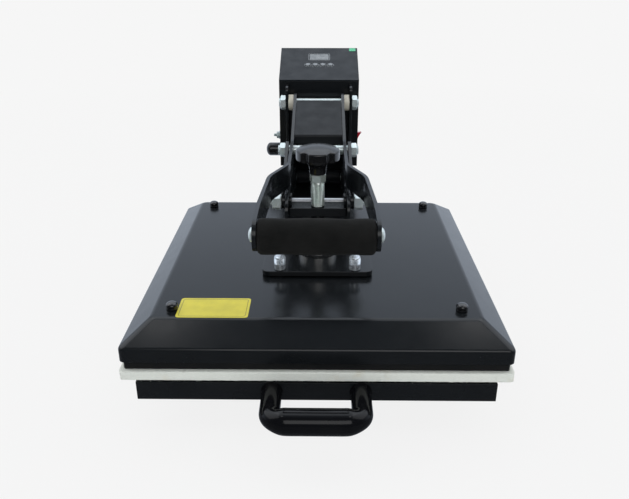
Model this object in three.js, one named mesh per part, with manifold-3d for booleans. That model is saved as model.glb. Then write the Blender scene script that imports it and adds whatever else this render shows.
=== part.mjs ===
// Clamshell heat press with a slide-out lower drawer.
// Millimetres, X to the right, Y to the back, Z up.
// The origin is on the table, under the middle of the whole machine.

import * as THREE from "three";
import { mergeVertices } from "three/addons/utils/BufferGeometryUtils.js";
import Module from "manifold-3d";

const wasm = await Module();
wasm.setup();

// Fits
const fit = 0.3;
const runningFit = 0.5;
const overrun = 4;

// Pressing plates, from the table up
const coverWidth = 390;
const footHeight = 14;
const baseHeight = 26;
const trayHeight = 21.2;
const lowerPlateThickness = 2.3;
const padThickness = 10.2;
const platenThickness = 12;
const platenShowing = 9.4;
const rimHeight = 15;
const bevelHeight = 19.7;
const bevelWidth = 28.4;
const coverSheet = 2;
const coverCornerRadius = 4;
const edgeRound = 1.2;
const platenInset = 3.5;
const padOverhang = 1.2;
const padCornerRadius = 5;
const padCrown = 0.6;
const lowerPlateInset = 6;

// Levels that follow from the stack
const baseTop = footHeight + baseHeight;
const trayTop = baseTop + trayHeight;
const lowerPlateTop = trayTop + fit + lowerPlateThickness;
const padBottom = lowerPlateTop + fit;
const padTop = padBottom + padThickness;
const platenBottom = padTop + fit;
const rimBottom = platenBottom + platenShowing;
const rimLine = rimBottom + rimHeight;
const coverTop = rimLine + bevelHeight;
const topFlatWidth = coverWidth - 2 * bevelWidth;
const padWidth = coverWidth + 2 * padOverhang;

// Drawer
const traySideInset = 14.5;
const trayBackInset = 24;
const traySheet = 1.8;
const trayFrontInset = 0.5;
const trayFront = -coverWidth / 2 + trayFrontInset;
const trayBack = coverWidth / 2 - trayBackInset;
const handleWidth = 109;
const handleReach = 47;
const handleBar = 26;
const handleLeg = 20;
const handleCorner = 20;

// Base, with the column standing just behind the plates
const columnClearance = 4;
const columnFront = coverWidth / 2 + columnClearance;
const columnDepth = 63;
const columnBack = columnFront + columnDepth;
const baseTubeWidth = 30;
const baseTubeWall = 2;
const baseSideInset = 45;
const baseFrontInset = 70;
const baseTail = 38;
const baseHalfWidth = coverWidth / 2 - baseSideInset;
const baseFront = -coverWidth / 2 + baseFrontInset;
const baseBack = columnBack + baseTail;
const baseRearTubeDepth = 62;
const baseRearTubeStart = columnBack - baseRearTubeDepth;
const footRadius = 14;
const footInset = 22;
const footTaperShare = 0.86;

// Telescopic rails of the drawer, on the side tubes
const railLength = 320;
const railHeight = 16;
const railWidth = 9;
const railSheet = 1.4;
const railInset = 20;
const railSetback = 3;
const railPlace = baseHalfWidth - railInset;
const railFront = baseFront + railSetback;
const railFlange = 12;

// Column and its pivots, heights above the rim line
const columnPlate = 3.3;
const columnInner = 43.1;
const columnRise = 178;
const columnFoot = 26;
const columnCorner = 8;

const topPivotSetback = 9;
const topPivotY = columnFront + topPivotSetback;
const topPivotRise = 154.7;
const rearPivotSetback = 29;
const rearPivotY = columnFront + rearPivotSetback;
const rearPivotRise = 38;
const frontPivotY = -15;
const frontPivotRise = 89;
const kneeReach = 117;
const kneePivotY = topPivotY - kneeReach;
const kneePivotRise = 119.2;
const pinRadius = 6;
const nutAcross = 19;
const nutHeight = 8.5;
const nutLongHeight = 12.6;
const nutTipLength = 2.2;
const nutTipShare = 0.86;
const bushRadius = 11;

// Handle lever
const leverInner = 31.2;
const leverPlate = 3.9;
const leverTopRadius = 13.3;
const leverKneeRadius = 13;
const leverGripRadius = 15.5;
const gripReach = 376;
const gripY = topPivotY - gripReach;
const flareLead = 12;
const flareRun = 43;
const flareStartY = frontPivotY + flareLead;
const flareEndY = flareStartY - flareRun;
const flareEndHalf = 55;
const gripHalf = 60;
const gripRise = 111;
const gripTubeRadius = 12;
const foamRadius = 19.5;
const foamRound = 5;
const gripScrewRadius = 4;
const gripScrewHeadRadius = 7.5;
const gripScrewHeadHeight = 4.2;
const leverCoverSheet = 1.5;
const leverCoverSetback = 21;
const leverCoverDrop = 16;
const leverCoverRearGap = 19;

// Toggle links
const linkGap = 2.4;
const linkPlate = 4;
const linkKneeRadius = 11;
const linkFrontRadius = 10;

// Press arm
const armInner = 33;
const armPlate = 3.7;
const armNose = 33;
const armLowerRise = 50.5;
const armUpperRise = 98;
const armRearRadius = 15;
const armCorner = 9;
const trunnionDepth = 24;
const trunnionHeight = 10.4;
const trunnionDrop = 5;
const trunnionBoss = 3;
const tieRodRadius = 5;
const tieRodDrop = 1.6;

// Pressure screw and its star knob, heights above the rim line
const screwRadius = 8;
const hexAcross = 17;
const hexBottomRise = 110;
const hexHeight = 9.4;
const knobRadius = 27.5;
const knobHubRadius = 11.5;
const knobWaistRadius = 17;
const knobSkirt = 12;
const knobLobeHeight = 15;
const knobDome = 4.5;
const knobLobes = 6;
const knobLobeDepth = 6.5;
const pressureTravel = 6;
const thrustCollarHeight = 3;
const thrustCollarWidth = 4;

// Flange, its bolts and the pedestal on the cover
const flangeWidth = 124;
const flangeDepth = 122;
const flangeThickness = 6;
const flangeLift = 1.5;
const flangeCorner = 10;
const flangeBoltHalfX = 42;
const flangeBoltInset = 8;
const flangeBoltRadius = 4;
const flangeNutAcross = 12;
const flangeNutHeight = 6;
const flangeWasherRadius = 7;
const flangeWasherHeight = 1.6;
const flangeBoltRise = 15.5;
const pedestalDepth = 56;
const pedestalSheet = 4;
const pedestalCorner = 5;

// Knobs that hold the cover on the platen
const coverKnobInset = 18.6;
const coverKnobRadius = 5.6;
const coverKnobFlange = 7.4;
const coverKnobHeight = 8;
const coverKnobFlangeHeight = 1.8;

// Control box, heights above the rim line
const boxHalfWidth = 57;
const boxSetback = 25;
const boxTail = 41;
const boxFront = columnFront + boxSetback;
const boxBack = columnBack + boxTail;
const fittingInset = 25;
const fittingY = boxBack - fittingInset;
const boxSheet = 1.5;
const boxBottomRise = 56;
const boxFrontRise = 181.5;
const boxBackRise = 213.8;
const boxArmClearRise = 84;
const boxCornerRound = 3;
const panelSheet = 2;
const windowWidth = 28;
const windowHeight = 15;
const windowThickness = 1;
const windowPlaceShare = 0.72;
const buttonCount = 4;
const buttonPitch = 11;
const buttonRadius = 3.4;
const buttonHeight = 1.6;
const buttonStem = 1.6;
const buttonTravel = 0.6;
const buttonPlaceShare = 0.46;

const rockerRise = 87;
const rockerLength = 22;
const rockerHeight = 11.5;
const rockerBezel = 2.2;
const rockerBezelThickness = 1.8;
const rockerBody = 14;
const rockerProud = 7.1;
const rockerLow = 1.6;
const rockerEndGap = 3.6;

const fuseRise = 67;
const fuseRadius = 9;
const fuseReach = 24.5;
const fuseBody = 16;
const fuseFlange = 1.2;
const glandRise = 89.5;
const glandRadius = 4.6;
const glandTipRadius = 2.4;
const glandReach = 12.4;
const glandBody = 8;

const inletWidth = 28;
const inletHeight = 22;
const inletBody = 18;
const inletBezel = 2.5;
const inletBezelThickness = 2;
const inletRise = 84;
const inletPinWidth = 4;
const inletPinThickness = 2;
const inletPinPitch = 7;
const inletRim = 3;
const inletDepth = 14;

const boardWidth = 70;
const boardDepth = 56;
const boardThickness = 1.6;
const boardStandoff = 6;
const boardStandoffRadius = 3;
const chipCount = 3;
const chipHeight = 9;

// Finishes, each piece takes its own copy
const finishes = {
  blackCoat: { color: 0x22262a, roughness: 0.35, metalness: 0.3 },
  greyCoat: { color: 0x464a52, roughness: 0.45, metalness: 0.3 },
  glossPlastic: { color: 0x0c0c0e, roughness: 0.18, metalness: 0 },
  matPlastic: { color: 0x141416, roughness: 0.55, metalness: 0 },
  rubber: { color: 0x101010, roughness: 0.9, metalness: 0 },
  foam: { color: 0x171718, roughness: 0.95, metalness: 0 },
  zinc: { color: 0xb9c0c2, roughness: 0.3, metalness: 1 },
  chrome: { color: 0xc4ccc8, roughness: 0.15, metalness: 1 },
  steel: { color: 0x8e9296, roughness: 0.4, metalness: 1 },
  aluminium: { color: 0x2b2b2c, roughness: 0.5, metalness: 0.6 },
  nylon: { color: 0xd6d1c4, roughness: 0.5, metalness: 0 },
  felt: { color: 0xdcdcd4, roughness: 1, metalness: 0 },
  wool: { color: 0xcfc7a8, roughness: 1, metalness: 0 },
  glass: { color: 0x8a9296, roughness: 0.15, metalness: 0 },
  red: { color: 0xa01f28, roughness: 0.3, metalness: 0 },
  board: { color: 0x1e5a34, roughness: 0.6, metalness: 0 },
  button: { color: 0xc8ccd0, roughness: 0.5, metalness: 0 },
};

const press = new THREE.Group();

// Adds one named piece to its parent group
function place(name, geometry, finish, position = [0, 0, 0], parent = press) {
  const mesh = new THREE.Mesh(geometry, new THREE.MeshStandardMaterial(finishes[finish]));
  mesh.name = name;
  mesh.position.set(...position);
  parent.add(mesh);
  return mesh;
}

// Solids and booleans

function bare(geometry) {
  const copy = geometry.clone();
  copy.deleteAttribute("normal");
  copy.deleteAttribute("uv");
  return mergeVertices(copy);
}

function toSolid(geometry) {
  const merged = bare(geometry);
  const vertProperties = new Float32Array(merged.attributes.position.array);
  const triVerts = new Uint32Array(merged.index.array);
  return new wasm.Manifold(new wasm.Mesh({ numProp: 3, vertProperties, triVerts }));
}

function toGeometry(solid) {
  const mesh = solid.getMesh();
  const geometry = new THREE.BufferGeometry();
  geometry.setAttribute("position", new THREE.BufferAttribute(mesh.vertProperties, 3));
  geometry.setIndex(new THREE.BufferAttribute(mesh.triVerts, 1));
  return geometry;
}

function cut(geometry, ...tools) {
  const solid = tools.reduce((left, tool) => left.subtract(toSolid(tool)), toSolid(geometry));
  return toGeometry(solid);
}

function join(...geometries) {
  const [first, ...rest] = geometries.map(toSolid);
  return toGeometry(rest.reduce((left, solid) => left.add(solid), first));
}

function common(first, second) {
  return toGeometry(toSolid(first).intersect(toSolid(second)));
}

// Shapes

function block(x0, x1, y0, y1, z0, z1) {
  const box = new THREE.BoxGeometry(x1 - x0, y1 - y0, z1 - z0);
  return box.translate((x0 + x1) / 2, (y0 + y1) / 2, (z0 + z1) / 2);
}

const roundSides = 16;

function rod(radius, length, axis = "z", sides = roundSides) {
  const cylinder = new THREE.CylinderGeometry(radius, radius, length, sides);
  cylinder.translate(0, length / 2, 0);
  return aim(cylinder, axis);
}

// Turns a solid that stands along +Y so that it stands along the named axis
function aim(geometry, axis) {
  if (axis === "z") geometry.rotateX(Math.PI / 2);
  if (axis === "x") geometry.rotateZ(-Math.PI / 2);
  if (axis === "-x") geometry.rotateZ(Math.PI / 2);
  if (axis === "-y") geometry.rotateX(Math.PI);
  return geometry;
}

// Turned piece from pairs of radius and height, closed on its axis
function turned(profile, axis = "z", sides = roundSides) {
  const points = profile.map(([radius, height]) => new THREE.Vector2(radius, height));
  return aim(new THREE.LatheGeometry(points, sides), axis);
}

function hexRadius(across) {
  return across / Math.sqrt(3);
}

function hexNut(across, height, axis) {
  return rod(hexRadius(across), height, axis, 6);
}

// Hexagonal nut with the rounded end of its bolt standing out
function nutWithTip(across, height, axis) {
  const nut = hexNut(across, height, axis);
  const tip = rod(pinRadius * nutTipShare, height + nutTipLength, axis, roundSides);
  return join(nut, tip);
}

// Pivot bolt across the machine, with its head and its nut at the two ends
function boltWithNut([y, z], reach, height) {
  const nut = nutWithTip(nutAcross, height - nutTipLength, "x").translate(reach, y, z);
  const ends = sides.map(([, side]) => mirrored(nut, side));
  return join(crossHole([y, z], pinRadius, reach + fit), ...ends);
}

function roundedRectangle(width, depth, radius) {
  const shape = new THREE.Shape();
  const x = width / 2;
  const y = depth / 2;
  shape.moveTo(-x + radius, -y);
  shape.lineTo(x - radius, -y);
  shape.absarc(x - radius, -y + radius, radius, -Math.PI / 2, 0, false);
  shape.lineTo(x, y - radius);
  shape.absarc(x - radius, y - radius, radius, 0, Math.PI / 2, false);
  shape.lineTo(-x + radius, y);
  shape.absarc(-x + radius, y - radius, radius, Math.PI / 2, Math.PI, false);
  shape.lineTo(-x, -y + radius);
  shape.absarc(-x + radius, -y + radius, radius, Math.PI, Math.PI * 3 / 2, false);
  return shape;
}

const cornerSteps = 3;

// Flat piece of an outline, standing up from z = 0
function slab(shape, height, steps = cornerSteps) {
  return new THREE.ExtrudeGeometry(shape, { depth: height, bevelEnabled: false, curveSegments: steps });
}

// Plate of an outline drawn in Y and Z, with its thickness from x0 to x1
function sidePlate(shape, x0, x1, steps = cornerSteps) {
  const plate = slab(shape, x1 - x0, steps);
  const toSide = new THREE.Matrix4().makeBasis(
    new THREE.Vector3(0, 1, 0),
    new THREE.Vector3(0, 0, 1),
    new THREE.Vector3(1, 0, 0),
  );
  plate.applyMatrix4(toSide);
  return plate.translate(x0, 0, 0);
}

// Closed outline through corners, each rounded by its radius
function roundedOutline(corners) {
  const shape = new THREE.Shape();
  const count = corners.length;
  corners.forEach(([x, y, radius], index) => {
    const here = new THREE.Vector2(x, y);
    const before = new THREE.Vector2(...corners[(index + count - 1) % count].slice(0, 2));
    const after = new THREE.Vector2(...corners[(index + 1) % count].slice(0, 2));
    const start = here.clone().add(before.sub(here).setLength(radius));
    const end = here.clone().add(after.sub(here).setLength(radius));
    if (index === 0) shape.moveTo(start.x, start.y);
    else shape.lineTo(start.x, start.y);
    shape.quadraticCurveTo(x, y, end.x, end.y);
  });
  shape.closePath();
  return shape;
}

// Outline of a strap round two circles of unlike radii
function strapOutline([ax, ay, ar], [bx, by, br]) {
  const heading = Math.atan2(by - ay, bx - ax);
  const spread = Math.acos((ar - br) / Math.hypot(bx - ax, by - ay));
  const shape = new THREE.Shape();
  shape.absarc(bx, by, br, heading - spread, heading + spread, false);
  shape.absarc(ax, ay, ar, heading + spread, heading - spread + 2 * Math.PI, false);
  shape.closePath();
  return shape;
}

// Skin through rounded square rings of the same count, closed at both ends
function ringPoints(half, radius, z, steps = cornerSteps) {
  const points = [];
  for (const [sx, sy, start] of [[1, -1, -0.5], [1, 1, 0], [-1, 1, 0.5], [-1, -1, 1]]) {
    for (let step = 0; step <= steps; step += 1) {
      const angle = Math.PI * (start + step / steps / 2);
      const x = sx * (half - radius) + radius * Math.cos(angle);
      const y = sy * (half - radius) + radius * Math.sin(angle);
      points.push(new THREE.Vector3(x, y, z));
    }
  }
  return points;
}

function loft(rings) {
  const count = rings[0].length;
  const positions = rings.flat().flatMap((point) => point.toArray());
  const index = [];
  rings.slice(1).forEach((ring, level) => {
    for (let step = 0; step < count; step += 1) {
      const next = (step + 1) % count;
      const low = level * count;
      const high = low + count;
      index.push(low + step, low + next, high + next, low + step, high + next, high + step);
    }
  });
  [0, rings.length - 1].forEach((level) => {
    const middle = rings[level].reduce((sum, point) => sum.add(point), new THREE.Vector3());
    middle.divideScalar(count);
    const hub = positions.length / 3;
    positions.push(...middle.toArray());
    for (let step = 0; step < count; step += 1) {
      const here = level * count + step;
      const next = level * count + (step + 1) % count;
      if (level === 0) index.push(hub, next, here);
      else index.push(hub, here, next);
    }
  });
  const geometry = new THREE.BufferGeometry();
  geometry.setAttribute("position", new THREE.Float32BufferAttribute(positions, 3));
  geometry.setIndex(index);
  return geometry;
}

const sides = [["left", -1], ["right", 1]];

function mirrored(geometry, side) {
  return side > 0 ? geometry : toGeometry(toSolid(geometry).mirror([1, 0, 0]));
}

// Base

function makeBase() {
  const z0 = footHeight + fit;
  const z1 = baseTop;
  const half = baseHalfWidth;
  const wall = baseTubeWall;
  const tube = (x0, x1, y0, y1) => block(x0, x1, y0, y1, z0, z1);
  const rearEnd = baseRearTubeStart + baseRearTubeDepth;
  const frame = join(
    tube(-half, -half + baseTubeWidth, baseFront, baseBack),
    tube(half - baseTubeWidth, half, baseFront, baseBack),
    tube(-half, half, baseFront, baseFront + baseTubeWidth),
    tube(-half, half, baseRearTubeStart, rearEnd),
  );
  const bore = (x0, x1, y0, y1) => block(x0, x1, y0, y1, z0 + wall, z1 - wall);
  const hollow = cut(
    frame,
    bore(-half + wall, -half + baseTubeWidth - wall, baseFront - overrun, baseBack + overrun),
    bore(half - baseTubeWidth + wall, half - wall, baseFront - overrun, baseBack + overrun),
    bore(-half + wall, half - wall, baseRearTubeStart + wall, rearEnd - wall),
  );
  place("base_frame", hollow, "blackCoat");

  const foot = turned([
    [0, 0],
    [footRadius * footTaperShare, 0],
    [footRadius, footHeight],
    [0, footHeight],
  ]);
  for (const [row, y] of [["front", baseFront + footInset], ["rear", baseBack - footInset]]) {
    for (const [word, side] of sides) {
      const x = side * (half - baseTubeWidth / 2);
      place(`foot_${row}_${word}`, foot.clone(), "rubber", [x, y, 0]);
    }
  }
}

// Drawer and its rails

const railBottom = baseTop + fit;
const railLip = railSheet + runningFit;

function railOuter() {
  const x0 = railPlace;
  const x1 = railPlace + railWidth;
  const y0 = railFront;
  const y1 = railFront + railLength;
  const z0 = railBottom;
  const z1 = railBottom + railHeight;
  return cut(
    block(x0, x1, y0, y1, z0, z1),
    block(x0 + railSheet, x1 + overrun, y0 - overrun, y1 + overrun, z0 + railSheet, z1 - railSheet),
  );
}

function railMiddle() {
  const x0 = railPlace + railLip;
  const x1 = railPlace + railWidth;
  const y0 = railFront;
  const y1 = railFront + railLength;
  const z0 = railBottom + railLip;
  const z1 = railBottom + railHeight - railLip;
  return cut(
    block(x0, x1, y0, y1, z0, z1),
    block(x0 + railSheet, x1 + overrun, y0 - overrun, y1 + overrun, z0 + railSheet, z1 - railSheet),
  );
}

// The inner rails are flanged and welded under the tray
function railInner() {
  const x0 = railPlace + 2 * railLip;
  const web = railPlace + railWidth + runningFit;
  const y0 = railFront;
  const y1 = railFront + railLength;
  const z0 = railBottom + 2 * railLip;
  const z1 = railBottom + railHeight - 2 * railLip;
  const top = trayTop - traySheet / 2;
  return join(
    block(x0, web + railSheet, y0, y1, z0, z1),
    block(web, web + railSheet, y0, y1, z0, top),
    block(web, web + railFlange, y0, y1, top - traySheet, top),
  );
}

function handleCurve() {
  const x = (handleWidth - handleLeg) / 2;
  const yBar = trayFront - handleReach;
  const yFace = trayFront - fit;
  const c = handleCorner;
  const z = baseTop + trayHeight / 2;
  const at = (px, py) => new THREE.Vector3(px, py, z);
  const curve = new THREE.CurvePath();
  curve.add(new THREE.LineCurve3(at(-x, yFace), at(-x, yBar + c)));
  curve.add(new THREE.QuadraticBezierCurve3(at(-x, yBar + c), at(-x, yBar), at(-x + c, yBar)));
  curve.add(new THREE.LineCurve3(at(-x + c, yBar), at(x - c, yBar)));
  curve.add(new THREE.QuadraticBezierCurve3(at(x - c, yBar), at(x, yBar), at(x, yBar + c)));
  curve.add(new THREE.LineCurve3(at(x, yBar + c), at(x, yFace)));
  return curve;
}

const handleSteps = 24;
const handleSides = 12;

// Ring of the handle, an oval that is fuller along the bar than at the legs
function handleGeometry() {
  const curve = handleCurve();
  const x = (handleWidth - handleLeg) / 2;
  const rings = [];
  for (let step = 0; step <= handleSteps; step += 1) {
    const share = step / handleSteps;
    const centre = curve.getPointAt(share);
    const along = curve.getTangentAt(share);
    const across = new THREE.Vector3(-along.y, along.x, 0);
    const fullness = Math.cos((centre.x / x) * (Math.PI / 2)) ** 0.5 || 0;
    const radius = (handleLeg + (handleBar - handleLeg) * fullness) / 2;
    const ring = [];
    for (let turn = 0; turn < handleSides; turn += 1) {
      const angle = (2 * Math.PI * turn) / handleSides;
      const point = centre.clone();
      point.addScaledVector(across, radius * Math.cos(angle));
      point.z += radius * Math.sin(angle);
      ring.push(point);
    }
    rings.push(ring);
  }
  return loft(rings);
}

function makeDrawer() {
  const half = coverWidth / 2 - traySideInset;
  const back = trayBack;
  const sheet = traySheet;
  const pan = cut(
    block(-half, half, trayFront, back, baseTop + fit, trayTop),
    block(-half + sheet, half - sheet, trayFront + sheet, back + overrun, 0, trayTop - sheet),
  );
  const tray = join(pan, ...sides.map(([, side]) => mirrored(railInner(), side)));
  place("drawer_tray", tray, "blackCoat");

  const plateWidth = coverWidth - 2 * lowerPlateInset;
  const plate = slab(roundedRectangle(plateWidth, plateWidth, padCornerRadius), lowerPlateThickness);
  place("lower_plate", plate, "blackCoat", [0, 0, trayTop + fit]);

  const padHalf = padWidth / 2;
  const padRings = [
    [padHalf - padCrown, padBottom],
    [padHalf, padBottom + padCrown],
    [padHalf, padTop - padCrown],
    [padHalf - padCrown, padTop],
  ];
  const pad = loft(padRings.map(([size, z]) => ringPoints(size, padCornerRadius, z)));
  place("felt_pad", pad, "felt");

  place("drawer_handle", handleGeometry(), "glossPlastic");

  for (const [word, side] of sides) {
    place(`drawer_rail_outer_${word}`, mirrored(railOuter(), side), "zinc");
    place(`drawer_rail_middle_${word}`, mirrored(railMiddle(), side), "zinc");
  }
}

// Upper pressing head

const flangeBottom = coverTop + flangeLift;
const flangeTop = flangeBottom + flangeThickness;
const trunnionTop = rimLine + frontPivotRise - trunnionDrop;
const pedestalTop = trunnionTop - trunnionHeight - pressureTravel - thrustCollarHeight - 3 * fit;

function coverRings(shrink, bottom) {
  const half = coverWidth / 2 - shrink;
  const flat = topFlatWidth / 2 - shrink;
  const top = coverTop - shrink;
  const corner = coverCornerRadius;
  const slopeX = edgeRound * (bevelWidth / Math.hypot(bevelWidth, bevelHeight));
  const slopeZ = edgeRound * (bevelHeight / Math.hypot(bevelWidth, bevelHeight));
  const rimTop = rimLine - shrink / 2;
  return [
    ringPoints(half, corner, bottom),
    ringPoints(half, corner, rimTop - edgeRound),
    ringPoints(half - slopeX, corner, rimTop + slopeZ),
    ringPoints(flat + slopeX, corner, top - slopeZ),
    ringPoints(flat - edgeRound, corner, top),
  ];
}

const cornerWords = ["front_left", "front_right", "rear_left", "rear_right"];

function coverKnobPlaces() {
  const p = topFlatWidth / 2 - coverKnobInset;
  return [[-p, -p], [p, -p], [-p, p], [p, p]];
}

function flangeBoltPlaces() {
  const y = flangeDepth / 2 - flangeBoltInset;
  const x = flangeBoltHalfX;
  return [[-x, -y], [x, -y], [-x, y], [x, y]].map(([px, py]) => [px, py + frontPivotY]);
}

function makeHead() {
  const screwHoles = [
    ...coverKnobPlaces().map(([x, y]) => [x, y, flangeBoltRadius]),
    ...flangeBoltPlaces().map(([x, y]) => [x, y, flangeBoltRadius]),
  ].map(([x, y, radius]) => {
    const hole = rod(radius + fit, coverSheet + 2 * overrun);
    return hole.translate(x, y, coverTop - coverSheet - overrun);
  });
  const cavity = loft(coverRings(coverSheet, rimBottom - overrun));
  const cover = cut(loft(coverRings(0, rimBottom)), cavity, ...screwHoles);
  place("platen_cover", cover, "blackCoat");

  const platenWidth = coverWidth - 2 * platenInset;
  const platenTop = platenBottom + platenThickness;
  const platen = slab(roundedRectangle(platenWidth, platenWidth, coverCornerRadius), platenThickness);
  platen.translate(0, 0, platenBottom);
  const studHoles = coverKnobPlaces().map(([x, y]) => {
    const hole = rod(flangeBoltRadius + fit, platenThickness);
    return hole.translate(x, y, platenBottom + platenThickness / 2);
  });
  place("heating_platen", cut(platen, ...studHoles), "aluminium");

  const packing = loft(coverRings(coverSheet + runningFit, platenTop + fit));
  const passages = coverKnobPlaces().map(([x, y]) => {
    const passage = rod(flangeBoltRadius + fit, coverTop);
    return passage.translate(x, y, platenTop - overrun);
  });
  const boltRoom = flangeBoltPlaces().map(([x, y]) => {
    const room = rod(flangeWasherRadius + fit, bevelHeight);
    return room.translate(x, y, coverTop - bevelHeight / 2);
  });
  place("insulation_pad", cut(packing, ...passages, ...boltRoom), "wool");

  const knobStem = rod(flangeBoltRadius, coverTop - platenBottom - platenThickness / 2);
  knobStem.translate(0, 0, platenBottom + platenThickness / 2 + fit);
  const seat = coverTop + fit;
  const capRise = coverKnobHeight - coverKnobFlangeHeight;
  const domeSteps = 5;
  const dome = [];
  for (let step = 0; step <= domeSteps; step += 1) {
    const angle = (Math.PI / 2) * (step / domeSteps);
    const height = coverKnobFlangeHeight + capRise / 2 + (capRise / 2) * Math.sin(angle);
    dome.push([coverKnobRadius * Math.cos(angle), height]);
  }
  dome[domeSteps][0] = 0;
  const cap = turned([
    [0, 0],
    [coverKnobFlange, 0],
    [coverKnobFlange, coverKnobFlangeHeight],
    [coverKnobRadius, coverKnobFlangeHeight],
    ...dome,
  ]);
  const coverKnob = join(knobStem, cap.translate(0, 0, seat));
  coverKnobPlaces().forEach(([x, y], index) => {
    place(`cover_knob_${cornerWords[index]}`, coverKnob.clone(), "glossPlastic", [x, y, 0]);
  });

  const studBottom = coverTop - coverSheet - fit;
  const studTop = flangeTop + flangeBoltRise;
  const washer = rod(flangeWasherRadius, flangeWasherHeight);
  const lowNut = hexNut(flangeNutAcross, flangeNutHeight, "z");
  const highNut = hexNut(flangeNutAcross, flangeNutHeight, "z");
  const spacer = rod(flangeWasherRadius, flangeLift - 2 * fit);
  const head = rod(flangeWasherRadius, coverSheet);
  const stud = join(
    rod(flangeBoltRadius, studTop - studBottom).translate(0, 0, studBottom),
    washer.translate(0, 0, flangeTop + fit),
    lowNut.translate(0, 0, flangeTop + fit + flangeWasherHeight),
    highNut.translate(0, 0, studTop - flangeNutHeight - fit),
    spacer.translate(0, 0, coverTop + fit),
    head.translate(0, 0, studBottom - coverSheet),
  );
  flangeBoltPlaces().forEach(([x, y], index) => {
    place(`flange_bolt_${cornerWords[index]}`, stud.clone(), "zinc", [x, y, 0]);
  });
}

// Flange plate with the pedestal welded on it, which takes the thrust of the pressure screw
function makeFlange() {
  const flangeShape = roundedRectangle(flangeWidth, flangeDepth, flangeCorner);
  const flange = slab(flangeShape, flangeThickness).translate(0, frontPivotY, flangeBottom);
  const flangeHoles = flangeBoltPlaces().map(([x, y]) => {
    const hole = rod(flangeBoltRadius + fit, flangeThickness + 2 * overrun);
    return hole.translate(x, y, flangeBottom - overrun);
  });
  const pedestalHalf = armInner - runningFit;
  const y0 = frontPivotY - pedestalDepth / 2;
  const y1 = frontPivotY + pedestalDepth / 2;
  const foot = flangeTop - fit;
  const pedestalShape = roundedOutline([
    [y0, foot, fit],
    [y1, foot, fit],
    [y1, pedestalTop, pedestalCorner],
    [y0, pedestalTop, pedestalCorner],
  ]);
  const pedestal = cut(
    join(cut(flange, ...flangeHoles), sidePlate(pedestalShape, -pedestalHalf, pedestalHalf)),
    block(
      -pedestalHalf - overrun,
      pedestalHalf + overrun,
      y0 + pedestalSheet,
      y1 - pedestalSheet,
      flangeTop,
      pedestalTop - pedestalSheet,
    ),
    rod(screwRadius + fit, pedestalSheet + 2 * overrun).translate(
      0,
      frontPivotY,
      pedestalTop - pedestalSheet - overrun,
    ),
  );
  place("flange_plate", pedestal, "blackCoat");
}

// Press arm

function pivot(y, rise) {
  return [y, rimLine + rise];
}

const topPivot = pivot(topPivotY, topPivotRise);
const rearPivot = pivot(rearPivotY, rearPivotRise);
const frontPivot = pivot(frontPivotY, frontPivotRise);
const kneePivot = pivot(kneePivotY, kneePivotRise);
const gripCentre = pivot(gripY, gripRise);

function crossHole([y, z], radius, reach) {
  return rod(radius, 2 * reach, "x").translate(-reach, y, z);
}

const armOuter = armInner + armPlate;

function makeArm() {
  const nose = frontPivotY - armNose;
  const low = rimLine + armLowerRise;
  const high = rimLine + armUpperRise;
  const [ry, rz] = rearPivot;
  const r = armRearRadius;
  const outline = roundedOutline([
    [nose, low, armCorner],
    [ry - 4 * r, low - armCorner / 3, armCorner],
    [ry - r, rz - r, armCorner],
    [ry + r, rz - r, r],
    [ry + r, rz + r, r],
    [ry - 2 * r, rz + r + armCorner, armCorner],
    [frontPivotY + 3 * r, high, 2 * armCorner],
    [nose, high, 2 * armCorner],
  ]);
  for (const [word, side] of sides) {
    const plate = cut(
      sidePlate(outline, armInner, armOuter),
      crossHole(rearPivot, pinRadius + fit, armOuter + overrun),
      crossHole(frontPivot, pinRadius + fit, armOuter + overrun),
    );
    place(`arm_plate_${word}`, mirrored(plate, side), "blackCoat");
  }

  const y0 = frontPivotY - trunnionDepth / 2;
  const bar = block(
    -armInner + fit,
    armInner - fit,
    y0,
    y0 + trunnionDepth,
    trunnionTop - trunnionHeight,
    trunnionTop,
  );
  const journal = crossHole(frontPivot, pinRadius, armOuter + fit);
  const collar = crossHole(frontPivot, pinRadius + trunnionBoss, armInner - fit);
  const bore = rod(screwRadius + fit, 4 * trunnionHeight);
  const relief = block(
    -armInner + fit + trunnionBoss,
    armInner - fit - trunnionBoss,
    y0 - overrun,
    y0 + trunnionDepth + overrun,
    trunnionTop,
    trunnionTop + 2 * trunnionHeight,
  );
  const trunnion = cut(
    join(bar, journal, collar),
    relief,
    bore.translate(0, frontPivotY, trunnionTop - 2 * trunnionHeight),
  );
  place("arm_trunnion", trunnion, "blackCoat");

  const tieY = y0 + trunnionDepth + fit + tieRodRadius;
  const tie = rod(tieRodRadius, 2 * (armInner - fit), "x");
  place("arm_tie_rod", tie, "zinc", [-armInner + fit, tieY, trunnionTop - tieRodDrop]);
}

// Pressure screw and star knob

function knobRing(radius, lobe, z) {
  const ring = [];
  const steps = knobLobes * 6;
  for (let step = 0; step < steps; step += 1) {
    const angle = (2 * Math.PI * step) / steps - Math.PI / 2;
    const wave = (1 - Math.cos(knobLobes * (angle + Math.PI / 2))) / 2;
    const reach = radius - lobe * wave;
    ring.push(new THREE.Vector3(reach * Math.cos(angle), reach * Math.sin(angle), z));
  }
  return ring;
}

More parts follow.
